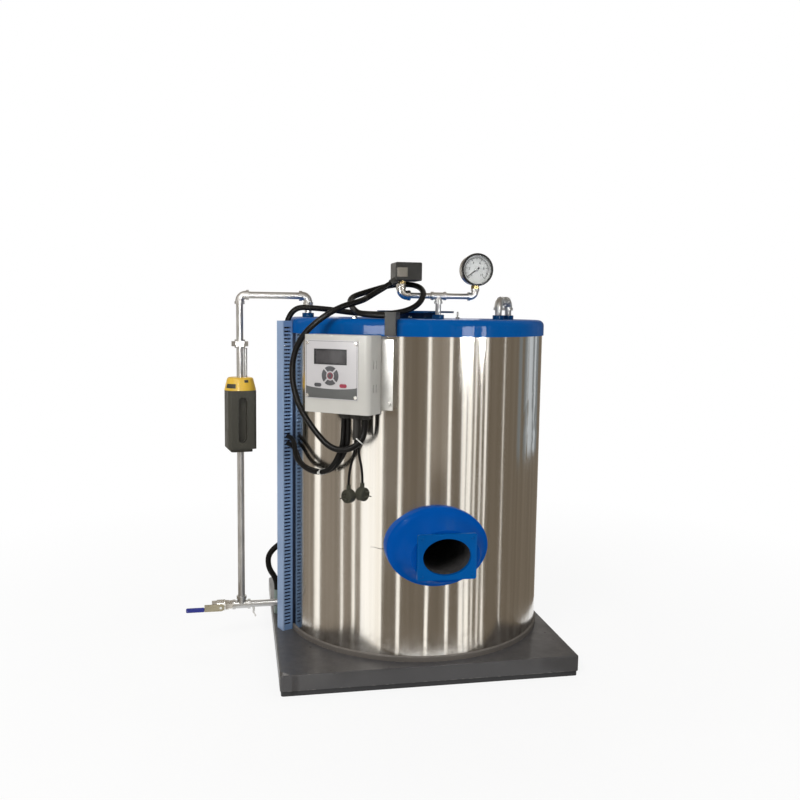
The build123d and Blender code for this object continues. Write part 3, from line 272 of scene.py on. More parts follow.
MATERIALS = {
    # Skids: near-black, darker than the tray; their own dark paint plus painted shade under the tray's skirt
    "skid_paint": painted("skid_paint_and_shade_look", (0.035, 0.035, 0.037), 0.5, chip=(0.10, 0.08, 0.06)),
    "tray_paint": painted("tray_paint_look", (0.074, 0.072, 0.074), 0.33, chip=(0.24, 0.23, 0.21), dust=0.05,
                          shine=0.4),
    "ring_paint": painted("ring_paint_look", (0.15, 0.135, 0.12), 0.5, chip=(0.28, 0.25, 0.22), dust=0.3),
    "stainless_sheet": stainless("stainless_sheet_look"),
    "blue_paint": painted("blue_paint_look", (0.0, 0.096, 0.365), 0.3, coat=0.11, dust=0.0, shine=0.02),
    "dark_blue_paint": painted("dark_blue_paint_look", (0.0, 0.055, 0.17), 0.35, coat=0.08, dust=0.03,
                               shine=0.1),
    "furnace_steel": soot("furnace_steel_look", (0.02, 0.019, 0.018)),
    "throat_refractory": soot("throat_refractory_look", (0.03, 0.029, 0.029)),
    "duct_plastic": plastic("duct_plastic_look", (0.16, 0.27, 0.48), 0.45),
    "duct_cover_plastic": plastic("duct_cover_plastic_look", (0.27, 0.38, 0.58), 0.42),
    # Rail: dark navy that paints in the shade of the gap between the duct and the jacket
    "rail_steel": painted("rail_painted_shade_look", (0.012, 0.024, 0.06), 0.5),
    "galvanised_pipe": metal("galvanised_pipe_look", (0.59, 0.59, 0.585), 0.38, spangle=0.12,
                             stain=(0.48, 0.47, 0.44)),
    "malleable_fittings": metal("malleable_fittings_look", (0.64, 0.64, 0.63), 0.38, spangle=0.1,
                                cast=0.00002, stain=(0.46, 0.45, 0.42)),
    "nickel": metal("nickel_look", (0.80, 0.79, 0.76), 0.26, cast=0.00003, stain=(0.5, 0.45, 0.37)),
    "lever_steel": metal("lever_steel_look", (0.44, 0.40, 0.29), 0.4, stain=(0.25, 0.2, 0.13)),
    "grip_blue": plastic("grip_blue_look", (0.02, 0.03, 0.26), 0.35, spread=0.15),
    "brass": metal("brass_look", (0.78, 0.60, 0.28), 0.25, stain=(0.5, 0.36, 0.16)),
    "level_yellow": plastic("level_yellow_look", (0.80, 0.50, 0.05), 0.32),
    "level_dark": plastic("level_dark_look", (0.055, 0.053, 0.041), 0.55, grain=0.00015),
    "switch_black": plastic("switch_black_look", (0.03, 0.029, 0.026), 0.42, grain=0.00012),
    "gauge_case_steel": metal("gauge_case_steel_look", (0.5, 0.5, 0.48), 0.22),
    "gauge_bezel_black": painted("gauge_bezel_black_look", (0.012, 0.012, 0.012), 0.25, coat=0.3, dust=0.03),
    "dial_white": painted("dial_white_look", (0.80, 0.80, 0.78), 0.5, peel=0.00003, dust=0.0),
    "pointer_black": painted("pointer_black_look", (0.012, 0.012, 0.012), 0.5, peel=0.00003, dust=0.0),
    "clear_glass": clear_glass("clear_glass_look"),
    "box_paint": painted("box_paint_look", (0.56, 0.55, 0.515), 0.45, peel=0.0002, chip=(0.42, 0.41, 0.39),
                         dust=0.05),
    "panel_film": plastic("panel_film_look", (0.585, 0.57, 0.58), 0.4, grain=0.00004, spread=0.03),
    "display_film": screen("display_film_look"),
    "key_grey": plastic("key_grey_look", (0.075, 0.075, 0.08), 0.45, spread=0.05),
    "stop_red": plastic("stop_red_look", (0.33, 0.03, 0.06), 0.4),
    "bracket_steel": metal("bracket_steel_look", (0.60, 0.595, 0.575), 0.36, spangle=0.06),
    "cable_black": rubber("cable_black_look", (0.006, 0.0055, 0.005), 0.4),
    "plug_rubber": rubber("plug_rubber_look", (0.05, 0.05, 0.036), 0.55),
    "feed_grey": painted("feed_grey_look", (0.20, 0.25, 0.23), 0.45),
}
for row in frame["record"]["subparts"]:
    mesh = NODES[row["node"]].data
    mesh.materials.clear()
    mesh.materials.append(MATERIALS[row["material_slot"]])


# Small pieces that the CAD leaves to this script

def frame_along(axis):
    """Two directions square to an axis."""
    axis = Vector(axis).normalized()
    helper = Vector((0, 0, 1)) if abs(axis.z) < 0.9 else Vector((1, 0, 0))
    side = axis.cross(helper).normalized()
    return side, axis.cross(side).normalized(), axis


WELD = 1e-6


class Shape:
    """Collects the faces of one piece, in the row frame."""

    def __init__(self):
        self.verts, self.faces = [], []

    def rings(self, rings, cap=True):
        """Skin between rings of points, with the two ends closed."""
        base, count = len(self.verts), len(rings[0])
        for ring in rings:
            self.verts += [tuple(p) for p in ring]
        for i in range(len(rings) - 1):
            for j in range(count):
                a, b = base + i * count + j, base + i * count + (j + 1) % count
                self.faces.append((a, b, b + count, a + count))
        if cap:
            self.faces.append(tuple(base + j for j in reversed(range(count))))
            last = base + (len(rings) - 1) * count
            self.faces.append(tuple(last + j for j in range(count)))
        return self

    def lathe(self, profile, origin, axis, count):
        """Turned piece: (radius, height) pairs up along an axis."""
        side, other, axis = frame_along(axis)
        round_about = [side * math.cos(a) + other * math.sin(a) for a in turns(count)]
        return self.rings([[Vector(origin) + axis * h + way * r for way in round_about] for r, h in profile])

    def bolt(self, origin, axis, flats, height, washer):
        """Hexagon head with a chamfered top, on a washer of a given radius."""
        corner, base = flats / math.sqrt(3), flats * 0.08
        self.lathe([(washer, 0), (washer, base), (flats * 0.4, base)], origin, axis, 24)
        profile = [(corner, base), (corner, base + height * 0.8), (corner * 0.86, base + height)]
        return self.lathe(profile, origin, axis, 6)

    def outline(self, points, normal, thick):
        """Flat plate: an outline in space, pushed out along a normal."""
        push = Vector(normal).normalized() * thick
        return self.rings([[Vector(p) for p in points], [Vector(p) + push for p in points]])

    def piece(self, name, slot, body=BODY, material=None, angle=35):
        mesh = bpy.data.meshes.new(name)
        mesh.from_pydata(self.verts, [], self.faces)
        skin = bmesh.new()
        skin.from_mesh(mesh)
        bmesh.ops.remove_doubles(skin, verts=skin.verts, dist=WELD)
        bmesh.ops.recalc_face_normals(skin, faces=skin.faces)
        skin.to_mesh(mesh)
        skin.free()
        mesh.validate()
        mesh.polygons.foreach_set("use_smooth", [True] * len(mesh.polygons))
        mesh.set_sharp_from_angle(angle=math.radians(angle))
        mesh.materials.append(material or MATERIALS[slot])
        piece = bpy.data.objects.new(name, mesh)
        bpy.context.scene.collection.objects.link(piece)
        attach(piece, body)
        return piece


def facing(angle):
    """Right and outward directions of a face at an angle from the front."""
    a = math.radians(angle)
    return Vector((math.cos(a), math.sin(a), 0)), Vector((math.sin(a), -math.cos(a), 0))


BOX_RIGHT, BOX_OUT = facing(-38)


def box_point(u, z, depth):
    """Point on the control box, in mm: right of its middle, height and distance from the jacket's axis."""
    return (BOX_RIGHT * u + BOX_OUT * depth) * MM + Vector((0, 0, z * MM))


PANEL_FACE, FILM = 487, 0.0002
SCREW_U, SCREW_Z = (-88, 64), (815, 959)
SCREW_PROFILE = ((0.0054, 0), (0.0054, 0.0010), (0.0046, 0.0026), (0.0016, 0.0031))
screws = Shape()
for u in SCREW_U:
    for z in SCREW_Z:
        screws.lathe(SCREW_PROFILE, box_point(u, z, PANEL_FACE), BOX_OUT, 24)
screws.piece("panel_screws", "nickel")

# Bolts: (flats, height of the head, radius of the washer)
BRACKET_BOLT, STUD_NUT, CAP_BOLT = (0.010, 0.005, 0.009), (0.011, 0.005, 0.009), (0.013, 0.006, 0.011)
BRACKET_FACE, BRACKET_BOLT_U, BRACKET_BOLT_Z = 420, 131, (797, 959)
bolts = Shape()
for z in BRACKET_BOLT_Z:
    bolts.bolt(box_point(BRACKET_BOLT_U, z, BRACKET_FACE), BOX_OUT, *BRACKET_BOLT)
bolts.piece("bracket_bolts", "bracket_steel")

BAND_LEFT, BAND_RIGHT, BAND_LOW, BAND_HIGH, BAND_DIP, BAND_STEPS = -93, 69, 809, 842, 7, 24
band = []
for i in range(BAND_STEPS + 1):
    share = i / BAND_STEPS
    dip = BAND_DIP * math.sin(math.pi * share) ** 0.6
    band.append(box_point(BAND_LEFT + (BAND_RIGHT - BAND_LEFT) * share, BAND_HIGH - dip, PANEL_FACE))
band += [box_point(BAND_RIGHT, BAND_LOW, PANEL_FACE), box_point(BAND_LEFT, BAND_LOW, PANEL_FACE)]
band_look = plastic("panel_band_look", (0.105, 0.108, 0.105), 0.4, grain=0.00004, spread=0.05)
Shape().outline(band[::-1], BOX_OUT, FILM).piece("panel_band", "panel_film", material=band_look)

KEYS_U, KEYS_Z, KEY_FACE, RING_OUTER, RING_INNER, RING_LIFT = -15, 871, 488.6, 8.2, 6.2, 0.0003
outer, inner = [[box_point(KEYS_U + r * math.cos(a), KEYS_Z + r * math.sin(a), KEY_FACE) for a in turns(40)]
                for r in (RING_OUTER, RING_INNER)]
lift = BOX_OUT * RING_LIFT
ring_rims = [outer, [p + lift for p in outer], [p + lift for p in inner], inner, outer]
Shape().rings(ring_rims, cap=False).piece("key_ring", "stop_red")


def panel_frame(name, middle, half, steps, material=None):
    """Rectangular frame on the panel, from rims that grow by so much and stand so far out."""
    rims = []
    for grow, out in steps:
        w, h = half[0] + grow, half[1] + grow
        rims.append([box_point(middle[0] + x * w, middle[1] + z * h, out) for x, z in SQUARE])
    Shape().rings(rims + rims[:1], cap=False).piece(name, "key_grey", material=material)


DISPLAY_MIDDLE, DISPLAY_HALF = (-15, 922), (50, 19.5)
RIM_OUT, RIM_IN, RIM_RISE, RIM_SINK = 1.5, -3.2, 0.9, 0.4
PANEL_MIDDLE, PANEL_HALF, LINE_INSET, LINE_W, LINE_LIFT = (-12, 887), (83, 80), 2.6, 0.9, 0.15
frame_look = plastic("display_frame_look", (0.02, 0.02, 0.022), 0.35, grain=0.00004, spread=0.1)
panel_frame("display_frame", DISPLAY_MIDDLE, DISPLAY_HALF,
            ((RIM_OUT, PANEL_FACE), (RIM_OUT, PANEL_FACE + RIM_RISE),
             (RIM_IN, PANEL_FACE + RIM_RISE), (RIM_IN, PANEL_FACE - RIM_SINK)), frame_look)
panel_frame("panel_border", PANEL_MIDDLE, PANEL_HALF,
            ((-LINE_INSET, PANEL_FACE), (-LINE_INSET, PANEL_FACE + LINE_LIFT),
             (-LINE_INSET - LINE_W, PANEL_FACE + LINE_LIFT), (-LINE_INSET - LINE_W, PANEL_FACE)))

# Burner neck: a rim on the jacket and a cone from it to the plate, round the throat's lining
NECK_X, NECK_Z, RIM_A, RIM_B = -0.0145, 0.3968, 0.1445, 0.1125
JACKET_FACE, PLUG_A, PLUG_B, PLUG_BACK = 0.4003, 0.1395, 0.1065, -0.352
BORE_A, BORE_B, BORE_X, BORE_Z = 0.0757, 0.0597, -0.013, 0.398
HOLE, NARROWING, NECK_SIDES = (BORE_X, BORE_Z), 0.84, 120
# (inward from the rim, towards the front) in mm, from the rim's side to the plate's back
NECK_PROFILE = ((0, 411), (0.4, 415), (2.0, 418.8), (4.6, 421.8), (8.2, 424), (13.5, 428.5), (21, 440),
                (29, 457), (36.5, 475), (43.5, 493), (49.5, 507.7))


def neck_oval(half_x, half_z, y=None, middle=(NECK_X, NECK_Z)):
    """Oval round the burner at a depth, or along the jacket's face."""
    ring = []
    for a in turns(NECK_SIDES):
        x, z = middle[0] + half_x * math.cos(a), middle[1] + half_z * math.sin(a)
        ring.append(Vector((x, -math.sqrt(JACKET_FACE ** 2 - x * x) if y is None else y, z)))
    return ring


neck_rings = [neck_oval(BORE_A, BORE_B, PLUG_BACK, HOLE), neck_oval(PLUG_A, PLUG_B, PLUG_BACK, HOLE),
              neck_oval(PLUG_A, PLUG_B, None, HOLE), neck_oval(RIM_A, RIM_B)]
for inward, out in NECK_PROFILE:
    neck_rings.append(neck_oval(RIM_A - inward * MM, RIM_B - inward * NARROWING * MM, -out * MM))
neck_rings += [neck_oval(BORE_A, BORE_B, -NECK_PROFILE[-1][1] * MM, HOLE), neck_rings[0]]
neck_look = painted("neck_paint_look", (0.0, 0.085, 0.41), 0.32, coat=0.03, dust=0.0, shine=0.01)
neck = Shape().rings(neck_rings, cap=False)
neck = neck.piece("burner_neck_skin", "blue_paint", material=neck_look, angle=40)
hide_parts("burner_neck")

# Painted plugs in the burner plate's four holes
PLATE_FACE, PLATE_HOLES_X, PLATE_HOLES_Z = -0.520, (-0.082, 0.056), (0.347, 0.449)
PLUG_PROFILE = ((0.0049, -0.006), (0.0049, -0.0004), (0.0038, 0.0005), (0.0012, 0.0009))
plugs = Shape()
for x in PLATE_HOLES_X:
    for z in PLATE_HOLES_Z:
        plugs.lathe(PLUG_PROFILE, (x, PLATE_FACE, z), FRONT, 20)
plugs.piece("plate_plugs", "blue_paint")

# Dial marks: an arc scale with ticks and plain numbers
GAUGE = Vector((0.152, -0.1615, 1.174))
SCALE_FROM, SCALE_TO, STEPS, ARC_STEPS = 225, -45, 50, 60
TICK_OUTER, TICK_MAIN, TICK_HALF, TICK_SMALL = 0.0365, 0.0285, 0.031, 0.033
TICK_WIDE, TICK_FINE = 0.00065, 0.0003
ARC_OUTER, ARC_INNER, INK, ARC_INK = 0.0372, 0.0362, 0.0002, 0.00018
NUMBER_R, NUMBER_SIZE, NUMBER_INK = 0.0225, 0.0105, 0.0001


def dial_angle(share):
    return SCALE_FROM + (SCALE_TO - SCALE_FROM) * share


def on_dial(angle, radius, out=0.0):
    a = math.radians(angle)
    return GAUGE + Vector((radius * math.cos(a), -out, radius * math.sin(a)))


marks = Shape()
for i in range(STEPS + 1):
    angle = dial_angle(i / STEPS)
    inner_r = TICK_MAIN if i % 10 == 0 else TICK_HALF if i % 5 == 0 else TICK_SMALL
    across = (on_dial(angle + 90, 1) - GAUGE) * (TICK_WIDE if i % 5 == 0 else TICK_FINE)
    low, high = on_dial(angle, inner_r), on_dial(angle, TICK_OUTER)
    marks.outline([low - across, high - across, high + across, low + across], FRONT, INK)
arc = [dial_angle(i / ARC_STEPS) for i in range(ARC_STEPS + 1)]
sweep = [on_dial(a, ARC_OUTER) for a in arc] + [on_dial(a, ARC_INNER) for a in reversed(arc)]
marks.outline(sweep, FRONT, ARC_INK)
marks.piece("gauge_scale", "pointer_black")


def evaluated_mesh(curve):
    """Mesh that a curve or text gives, with the curve's object taken away again."""
    holder = bpy.data.objects.new("holder", curve)
    bpy.context.scene.collection.objects.link(holder)
    bpy.context.view_layer.update()
    mesh = bpy.data.meshes.new_from_object(holder.evaluated_get(bpy.context.evaluated_depsgraph_get()))
    bpy.data.objects.remove(holder)
    return mesh


numbers = Shape()
for value in range(0, 11, 2):
    curve = bpy.data.curves.new("number", "FONT")
    curve.body, curve.size, curve.align_x, curve.align_y = str(value), NUMBER_SIZE, "CENTER", "CENTER"
    curve.extrude = NUMBER_INK
    flat = evaluated_mesh(curve)
    spot = on_dial(dial_angle(value / 10), NUMBER_R, NUMBER_INK)
    base = len(numbers.verts)
    numbers.verts += [tuple(spot + Vector((v.co.x, -v.co.z, v.co.y))) for v in flat.vertices]
    numbers.faces += [tuple(base + i for i in p.vertices) for p in flat.polygons]
numbers.piece("gauge_numbers", "pointer_black")

HUB_AT = GAUGE + Vector((0, -0.001, 0))
HUB_PROFILE = ((0.0042, 0), (0.0042, 0.0012), (0.0030, 0.0022), (0.0008, 0.0024))
Shape().lathe(HUB_PROFILE, HUB_AT, FRONT, 24).piece("gauge_hub", "gauge_case_steel")

# Bare name plate on the pressure switch
SWITCH = Vector((-0.082, -0.1942, 1.161))
SWITCH_PLATE_X, SWITCH_PLATE_Z, SWITCH_PLATE_THICK = 0.0155, 0.0135, 0.0006
plate = [SWITCH + Vector((x * SWITCH_PLATE_X, 0, z * SWITCH_PLATE_Z)) for x, z in SQUARE]
Shape().outline(plate, FRONT, SWITCH_PLATE_THICK).piece("switch_plate", "gauge_case_steel")

# Stud and bolt on the cap
UP, STUD_AT, CAP_BOLT_AT = (0, 0, 1), (0.118, -0.078, 1.025), (-0.236, -0.303, 1.025)
STUD_PROFILE = ((0.0028, 0), (0.0028, 0.021), (0.0018, 0.0225))
stud = Shape().lathe(STUD_PROFILE, STUD_AT, UP, 16)
stud.bolt(STUD_AT, UP, *STUD_NUT)
stud.bolt(CAP_BOLT_AT, UP, *CAP_BOLT)
stud.piece("cap_stud", "bracket_steel")

# Wires in the duct, coloured dark navy as painted shade for the duct's shaded blue inside; they darken the
# comb's slots
DUCT_RIGHT, DUCT_OUT = facing(-65)
DUCT_CORNER_ANGLE, DUCT_CORNER_R = -77, 0.4055
DUCT_CORNER = facing(DUCT_CORNER_ANGLE)[1] * DUCT_CORNER_R
WIRES_LOW, WIRES_HIGH, WIRE_STEPS, WIRE_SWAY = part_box("duct_channel")[0][2] + 0.004, 0.938, 36, 0.0005
# (along the duct's back, out from it, radius) in mm
WIRES = ((-10, 7, 3.6), (-18, 8, 4.2), (-26, 7, 3.6), (-9, 15, 3.4), (-17, 16.5, 3.8), (-25.5, 15.5, 4.0),
         (-11, 23, 3.6), (-19, 24, 3.2), (-26.5, 23.5, 3.0))
wires = Shape()
for across, out, radius in WIRES:
    foot = DUCT_CORNER + (DUCT_RIGHT * across + DUCT_OUT * out) * MM
    rings = []
    for i in range(WIRE_STEPS + 1):
        height = Vector((0, 0, WIRES_LOW + (WIRES_HIGH - WIRES_LOW) * i / WIRE_STEPS))
        sway = (DUCT_RIGHT * math.sin(i * 0.9 + across) + DUCT_OUT * math.cos(i * 0.7 + out)) * WIRE_SWAY
        middle = foot + sway + height
        rings.append([middle + Vector((math.cos(a), math.sin(a), 0)) * radius * MM for a in turns(10)])
    wires.rings(rings)
# Dark navy wire colour: painted shade of the duct's inside seen through the slots
wire_shade_look = plastic("duct_wire_shade_look", (0.010, 0.016, 0.045), 0.5)
wires.piece("duct_wires", "cable_black", material=wire_shade_look)


# Hole on the level switch's cap, shown as a thin dark patch of painted shade, and a bare label on the cap
LEVEL_AXIS, LEVEL_CLEAR, PATCH_THICK = Vector((-0.55, 0.0, 0.0)), 0.2, 0.0004


def on_level_cap(angle, z, lift):
    """Point over the level switch's cap at an angle from the front and a height, from a line cast at it."""
    out = facing(angle)[1]
    start = LEVEL_AXIS + out * LEVEL_CLEAR + Vector((0, 0, z))
    _, place, normal, _ = NODES["level_switch_cap"].ray_cast(start, -out)
    return place + normal * lift


def cap_patch(name, from_angle, to_angle, low, high, slot, material=None):
    """Thin patch that lies on the cap between two angles and two heights."""
    columns, rows = 12, 3
    shape = Shape()
    grid = [[(from_angle + (to_angle - from_angle) * i / columns, low + (high - low) * j / rows)
             for i in range(columns + 1)] for j in range(rows + 1)]
    for lift in (PATCH_THICK, 0.0):
        shape.verts += [tuple(on_level_cap(a, z, lift)) for row in grid for a, z in row]
    across, layer = columns + 1, (columns + 1) * (rows + 1)
    for j in range(rows):
        for i in range(columns):
            a = j * across + i
            quad = (a, a + 1, a + across + 1, a + across)
            shape.faces += [quad, tuple(v + layer for v in reversed(quad))]
    rim = list(range(across)) + [j * across + columns for j in range(1, rows + 1)]
    rim += [rows * across + i for i in range(columns - 1, -1, -1)]
    rim += [j * across for j in range(rows - 1, 0, -1)]
    for a, b in zip(rim, rim[1:] + rim[:1]):
        shape.faces.append((a, a + layer, b + layer, b))
    shape.piece(name, slot, material=material)


label_look = plastic("bare_label_look", (0.05, 0.045, 0.03), 0.5, grain=0.00004, spread=0.2)
# (from angle, to angle, low, high)
LABEL_SPAN, HOLE_SHADE_SPAN = (-62, -18, 0.8065, 0.8195), (20, 38, 0.8235, 0.8315)
cap_patch("level_cap_label", *LABEL_SPAN, "level_dark", label_look)
# Dark patch in place of the cap's hole: painted shade
cap_patch("level_cap_hole_shade", *HOLE_SHADE_SPAN, "level_dark")

# Slit in the jacket to the left of the burner
SLIT_FROM, SLIT_TO, SLIT_R, SLIT_Z, SLIT_DEPTH, SLIT_STEPS = -29.0, -22.6, 0.4002, 0.3852, 0.001, 16
SLIT_WAVE, SLIT_FALL, SLIT_HALF, SLIT_POINT = 0.0012, 0.0015, 0.0009, 0.25
slit_rings = []
for i in range(SLIT_STEPS + 1):
    share = i / SLIT_STEPS
    out = facing(SLIT_FROM + (SLIT_TO - SLIT_FROM) * share)[1]
    p = out * SLIT_R + Vector((0, 0, SLIT_Z + SLIT_WAVE * math.sin(share * 7.0) - SLIT_FALL * share))
    up, back = Vector((0, 0, SLIT_HALF * (SLIT_POINT + share))), -out * SLIT_DEPTH
    slit_rings.append([p - up, p + up, p + up + back, p - up + back])
Shape().rings(slit_rings).piece("jacket_slit", "furnace_steel")


# Cables: one smooth line each, with the part's own turning points as its control points

# Name: (diameter, depth of the ribs, turning points)
CORDS = {
    "feed_hose": (0.018, 0.0, (
        (-0.436, 0.055, 0.14), (-0.436, 0.055, 0.172), (-0.466, 0.055, 0.215),
        (-0.462, 0.055, 0.27), (-0.415, 0.055, 0.298))),
    "box_conduit": (0.017, 0.00035, (
        (-0.2187, -0.4002, 0.755), (-0.2187, -0.4002, 0.719), (-0.2341, -0.4085, 0.69),
        (-0.2706, -0.3951, 0.668), (-0.3125, -0.3675, 0.673), (-0.3528, -0.3297, 0.719),
        (-0.3878, -0.282, 0.775), (-0.4038, -0.2505, 0.835), (-0.4063, -0.2422, 0.889),
        (-0.3944, -0.2515, 0.947), (-0.3597, -0.285, 1.001), (-0.2866, -0.302, 1.054),
        (-0.2123, -0.2621, 1.074), (-0.1809, -0.188, 1.0861), (-0.113, -0.18, 1.1276))),
    "bundle_outer_cable": (0.014, 0.0, (
        (-0.2722, -0.3584, 0.755), (-0.2722, -0.3584, 0.719), (-0.277, -0.3646, 0.668),
        (-0.3076, -0.3275, 0.598), (-0.3552, -0.2677, 0.587), (-0.3935, -0.1919, 0.6128),
        (-0.3917, -0.1341, 0.666), (-0.4086, -0.0978, 0.666))),
    "bundle_inner_cable": (0.014, 0.0, (
        (-0.2599, -0.368, 0.755), (-0.2599, -0.368, 0.719), (-0.2635, -0.3702, 0.668),
        (-0.2969, -0.3162, 0.598), (-0.3428, -0.2583, 0.587), (-0.3795, -0.1851, 0.5972),
        (-0.3917, -0.1341, 0.644), (-0.4086, -0.0978, 0.644))),
    "duct_conduit": (0.017, 0.00035, (
        (-0.4175, -0.0823, 0.945), (-0.4175, -0.0823, 1.056), (-0.3053, -0.1234, 1.052),
        (-0.2297, -0.1996, 1.04), (-0.14, -0.2702, 1.036), (-0.058, -0.268, 1.054),
        (-0.012, -0.198, 1.098), (-0.02, -0.118, 1.128), (-0.09, -0.085, 1.128),
        (-0.165, -0.1, 1.106), (-0.235, -0.16, 1.084), (-0.235, -0.24, 1.053),
        (-0.2225, -0.3284, 1.0345), (-0.1524, -0.3553, 1.0345))),
    "plug_lead_left": (0.007, 0.0, (
        (-0.2428, -0.3814, 0.697), (-0.2428, -0.3814, 0.664), (-0.2585, -0.3666, 0.604),
        (-0.2585, -0.3666, 0.568))),
    "plug_lead_right": (0.007, 0.0, (
        (-0.2357, -0.3869, 0.697), (-0.2357, -0.3869, 0.663), (-0.2205, -0.3683, 0.609),
        (-0.2205, -0.3683, 0.573))),
}


def smooth_line(points):
    """Points along the NURBS line that has a route's turning points as its control points."""
    curve = bpy.data.curves.new("route", "CURVE")
    curve.dimensions = "3D"
    spline = curve.splines.new("NURBS")
    spline.points.add(len(points) - 1)
    for point, place in zip(spline.points, points):
        point.co = (*place, 1.0)
    spline.order_u = 3
    spline.use_endpoint_u = True
    spline.resolution_u = 40
    return [v.co.copy() for v in evaluated_mesh(curve).vertices]


def evenly(line, step):
    """The same line at even steps, and its length."""
    lengths = [0.0]
    for a, b in zip(line, line[1:]):
        lengths.append(lengths[-1] + (b - a).length)
    count = max(2, round(lengths[-1] / step))
    places, i = [], 0
    for k in range(count + 1):
        target = lengths[-1] * k / count
        while i < len(line) - 2 and lengths[i + 1] < target:
            i += 1
        gap = lengths[i + 1] - lengths[i]
        places.append(line[i].lerp(line[i + 1], (target - lengths[i]) / gap if gap else 0.0))
    return places, lengths[-1]


RIB_PITCH, SIDES = 0.0055, 18


def cable(name, diameter, rib, points):
    """Tube along a smooth line; a conduit's covering shows the ribs of the steel coil under it."""
    line, length = evenly(smooth_line(points), RIB_PITCH / 4 if rib else diameter / 3)
    side = frame_along(line[1] - line[0])[0]
    rings = []
    for i, place in enumerate(line):
        way = (line[min(i + 1, len(line) - 1)] - line[max(i - 1, 0)]).normalized()
        side = (side - way * side.dot(way)).normalized()
        other = way.cross(side)
        travelled = length * i / (len(line) - 1)
        radius = diameter / 2 - rib * (0.5 - 0.5 * math.cos(2 * math.pi * travelled / RIB_PITCH))
        rings.append([place + (side * math.cos(a) + other * math.sin(a)) * radius for a in turns(SIDES)])
    tube = Shape().rings(rings).piece(name + "_line", "cable_black", angle=60)
    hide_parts(name)
    return tube, line


LINES = {}
for name, spec in CORDS.items():
    tube, LINES[name] = cable(name, *spec)
    tube.visible_glossy = not name.startswith("plug_lead")
NODES["lead_plugs"].visible_glossy = False


# Cable ties, and the tail of sealing tape under the tee
TIE_CLEAR, TIE_THICK, TIE_HEAD, TIE_HEAD_RISE = 0.0003, 0.0011, 1.45, 0.004
tie_look = plastic("tie_look", (0.72, 0.72, 0.68), 0.4)


def cable_tie(name, centre, way, across, reach, cable_r, half):
    """Band and head round one cable, or round two that lie apart by twice the reach."""
    rise = way.cross(across)
    loop = []
    for a in turns(32):
        shift = across * (reach if math.cos(a) >= 0 else -reach)
        loop.append((shift, across * math.cos(a) + rise * math.sin(a)))
    inside, outside = cable_r + TIE_CLEAR, cable_r + TIE_CLEAR + TIE_THICK
    profile = ((inside, -half), (outside, -half), (outside, half), (inside, half), (inside, -half))
    tie = Shape().rings([[centre + s + d * r + way * h for s, d in loop] for r, h in profile], cap=False)
    head = centre + across * (reach + outside)
    square = [head + (way * x + rise * y) * half * TIE_HEAD for x, y in SQUARE]
    tie.outline(square, across, TIE_HEAD_RISE).piece(name, "panel_film", material=tie_look)


def nearest(line, place):
    """Number of the line's point that is nearest to a place, and the line's direction there."""
    spot = min(range(1, len(line) - 1), key=lambda i: (line[i] - Vector(place)).length)
    return spot, (line[spot + 1] - line[spot - 1]).normalized()


BUNDLE_TIE_AT, BUNDLE_TIE_HALF = (-0.328, -0.300, 0.600), 0.0022
outer_line, inner_line = LINES["bundle_outer_cable"], LINES["bundle_inner_cable"]
spot, way = nearest(outer_line, BUNDLE_TIE_AT)
middle_out = outer_line[spot]
middle_in = min(inner_line, key=lambda p: (p - middle_out).length)
across = middle_out - middle_in
across = across - way * across.dot(way)
cable_tie("bundle_tie", (middle_out + middle_in) / 2, way, across.normalized(), across.length / 2,
          CORDS["bundle_outer_cable"][0] / 2, BUNDLE_TIE_HALF)

CONDUIT_TIE_AT, CONDUIT_TIE_HALF = (-0.2337, -0.4059, 0.6941), 0.0012
spot, way = nearest(LINES["box_conduit"], CONDUIT_TIE_AT)
cable_tie("conduit_tie", LINES["box_conduit"][spot], way, way.cross(BOX_OUT).normalized(), 0.0,
          CORDS["box_conduit"][0] / 2, CONDUIT_TIE_HALF)

TAPE_AT, TAPE_HANG, TAPE_STEPS = Vector((-0.5135, -0.0065, 0.1075)), Vector((0.004, -0.008, -0.030)), 12
TAPE_SWING, TAPE_HALF, TAPE_TAPER, TAPE_TWIST = 0.0035, 0.0042, 0.002, 0.0015
skin = Vector((0, -0.0004, 0))
tape_rings = []
for i in range(TAPE_STEPS + 1):
    share = i / TAPE_STEPS
    swing = Vector((TAPE_SWING * math.sin(share * 9.0) * share, 0, 0))
    at = TAPE_AT + TAPE_HANG * share + swing
    half = Vector((TAPE_HALF - TAPE_TAPER * share, TAPE_TWIST * math.sin(share * 6.0), 0.0))
    tape_rings.append([at - half, at + half, at + half + skin, at - half + skin])
tape_look = plastic("tape_look", (0.80, 0.79, 0.76), 0.6, grain=0.0003, scale=300.0)
Shape().rings(tape_rings).piece("tape_tail", "panel_film", material=tape_look)


# Stage: floor, reflection cards, light and camera

CAMERA_AT = Vector((-0.554, -2.626, 1.046))


def stage_mesh(name, verts, faces):
    mesh = bpy.data.meshes.new(name)
    mesh.from_pydata(verts, [], faces)
    piece = bpy.data.objects.new(name, mesh)
    bpy.context.scene.collection.objects.link(piece)
    return piece


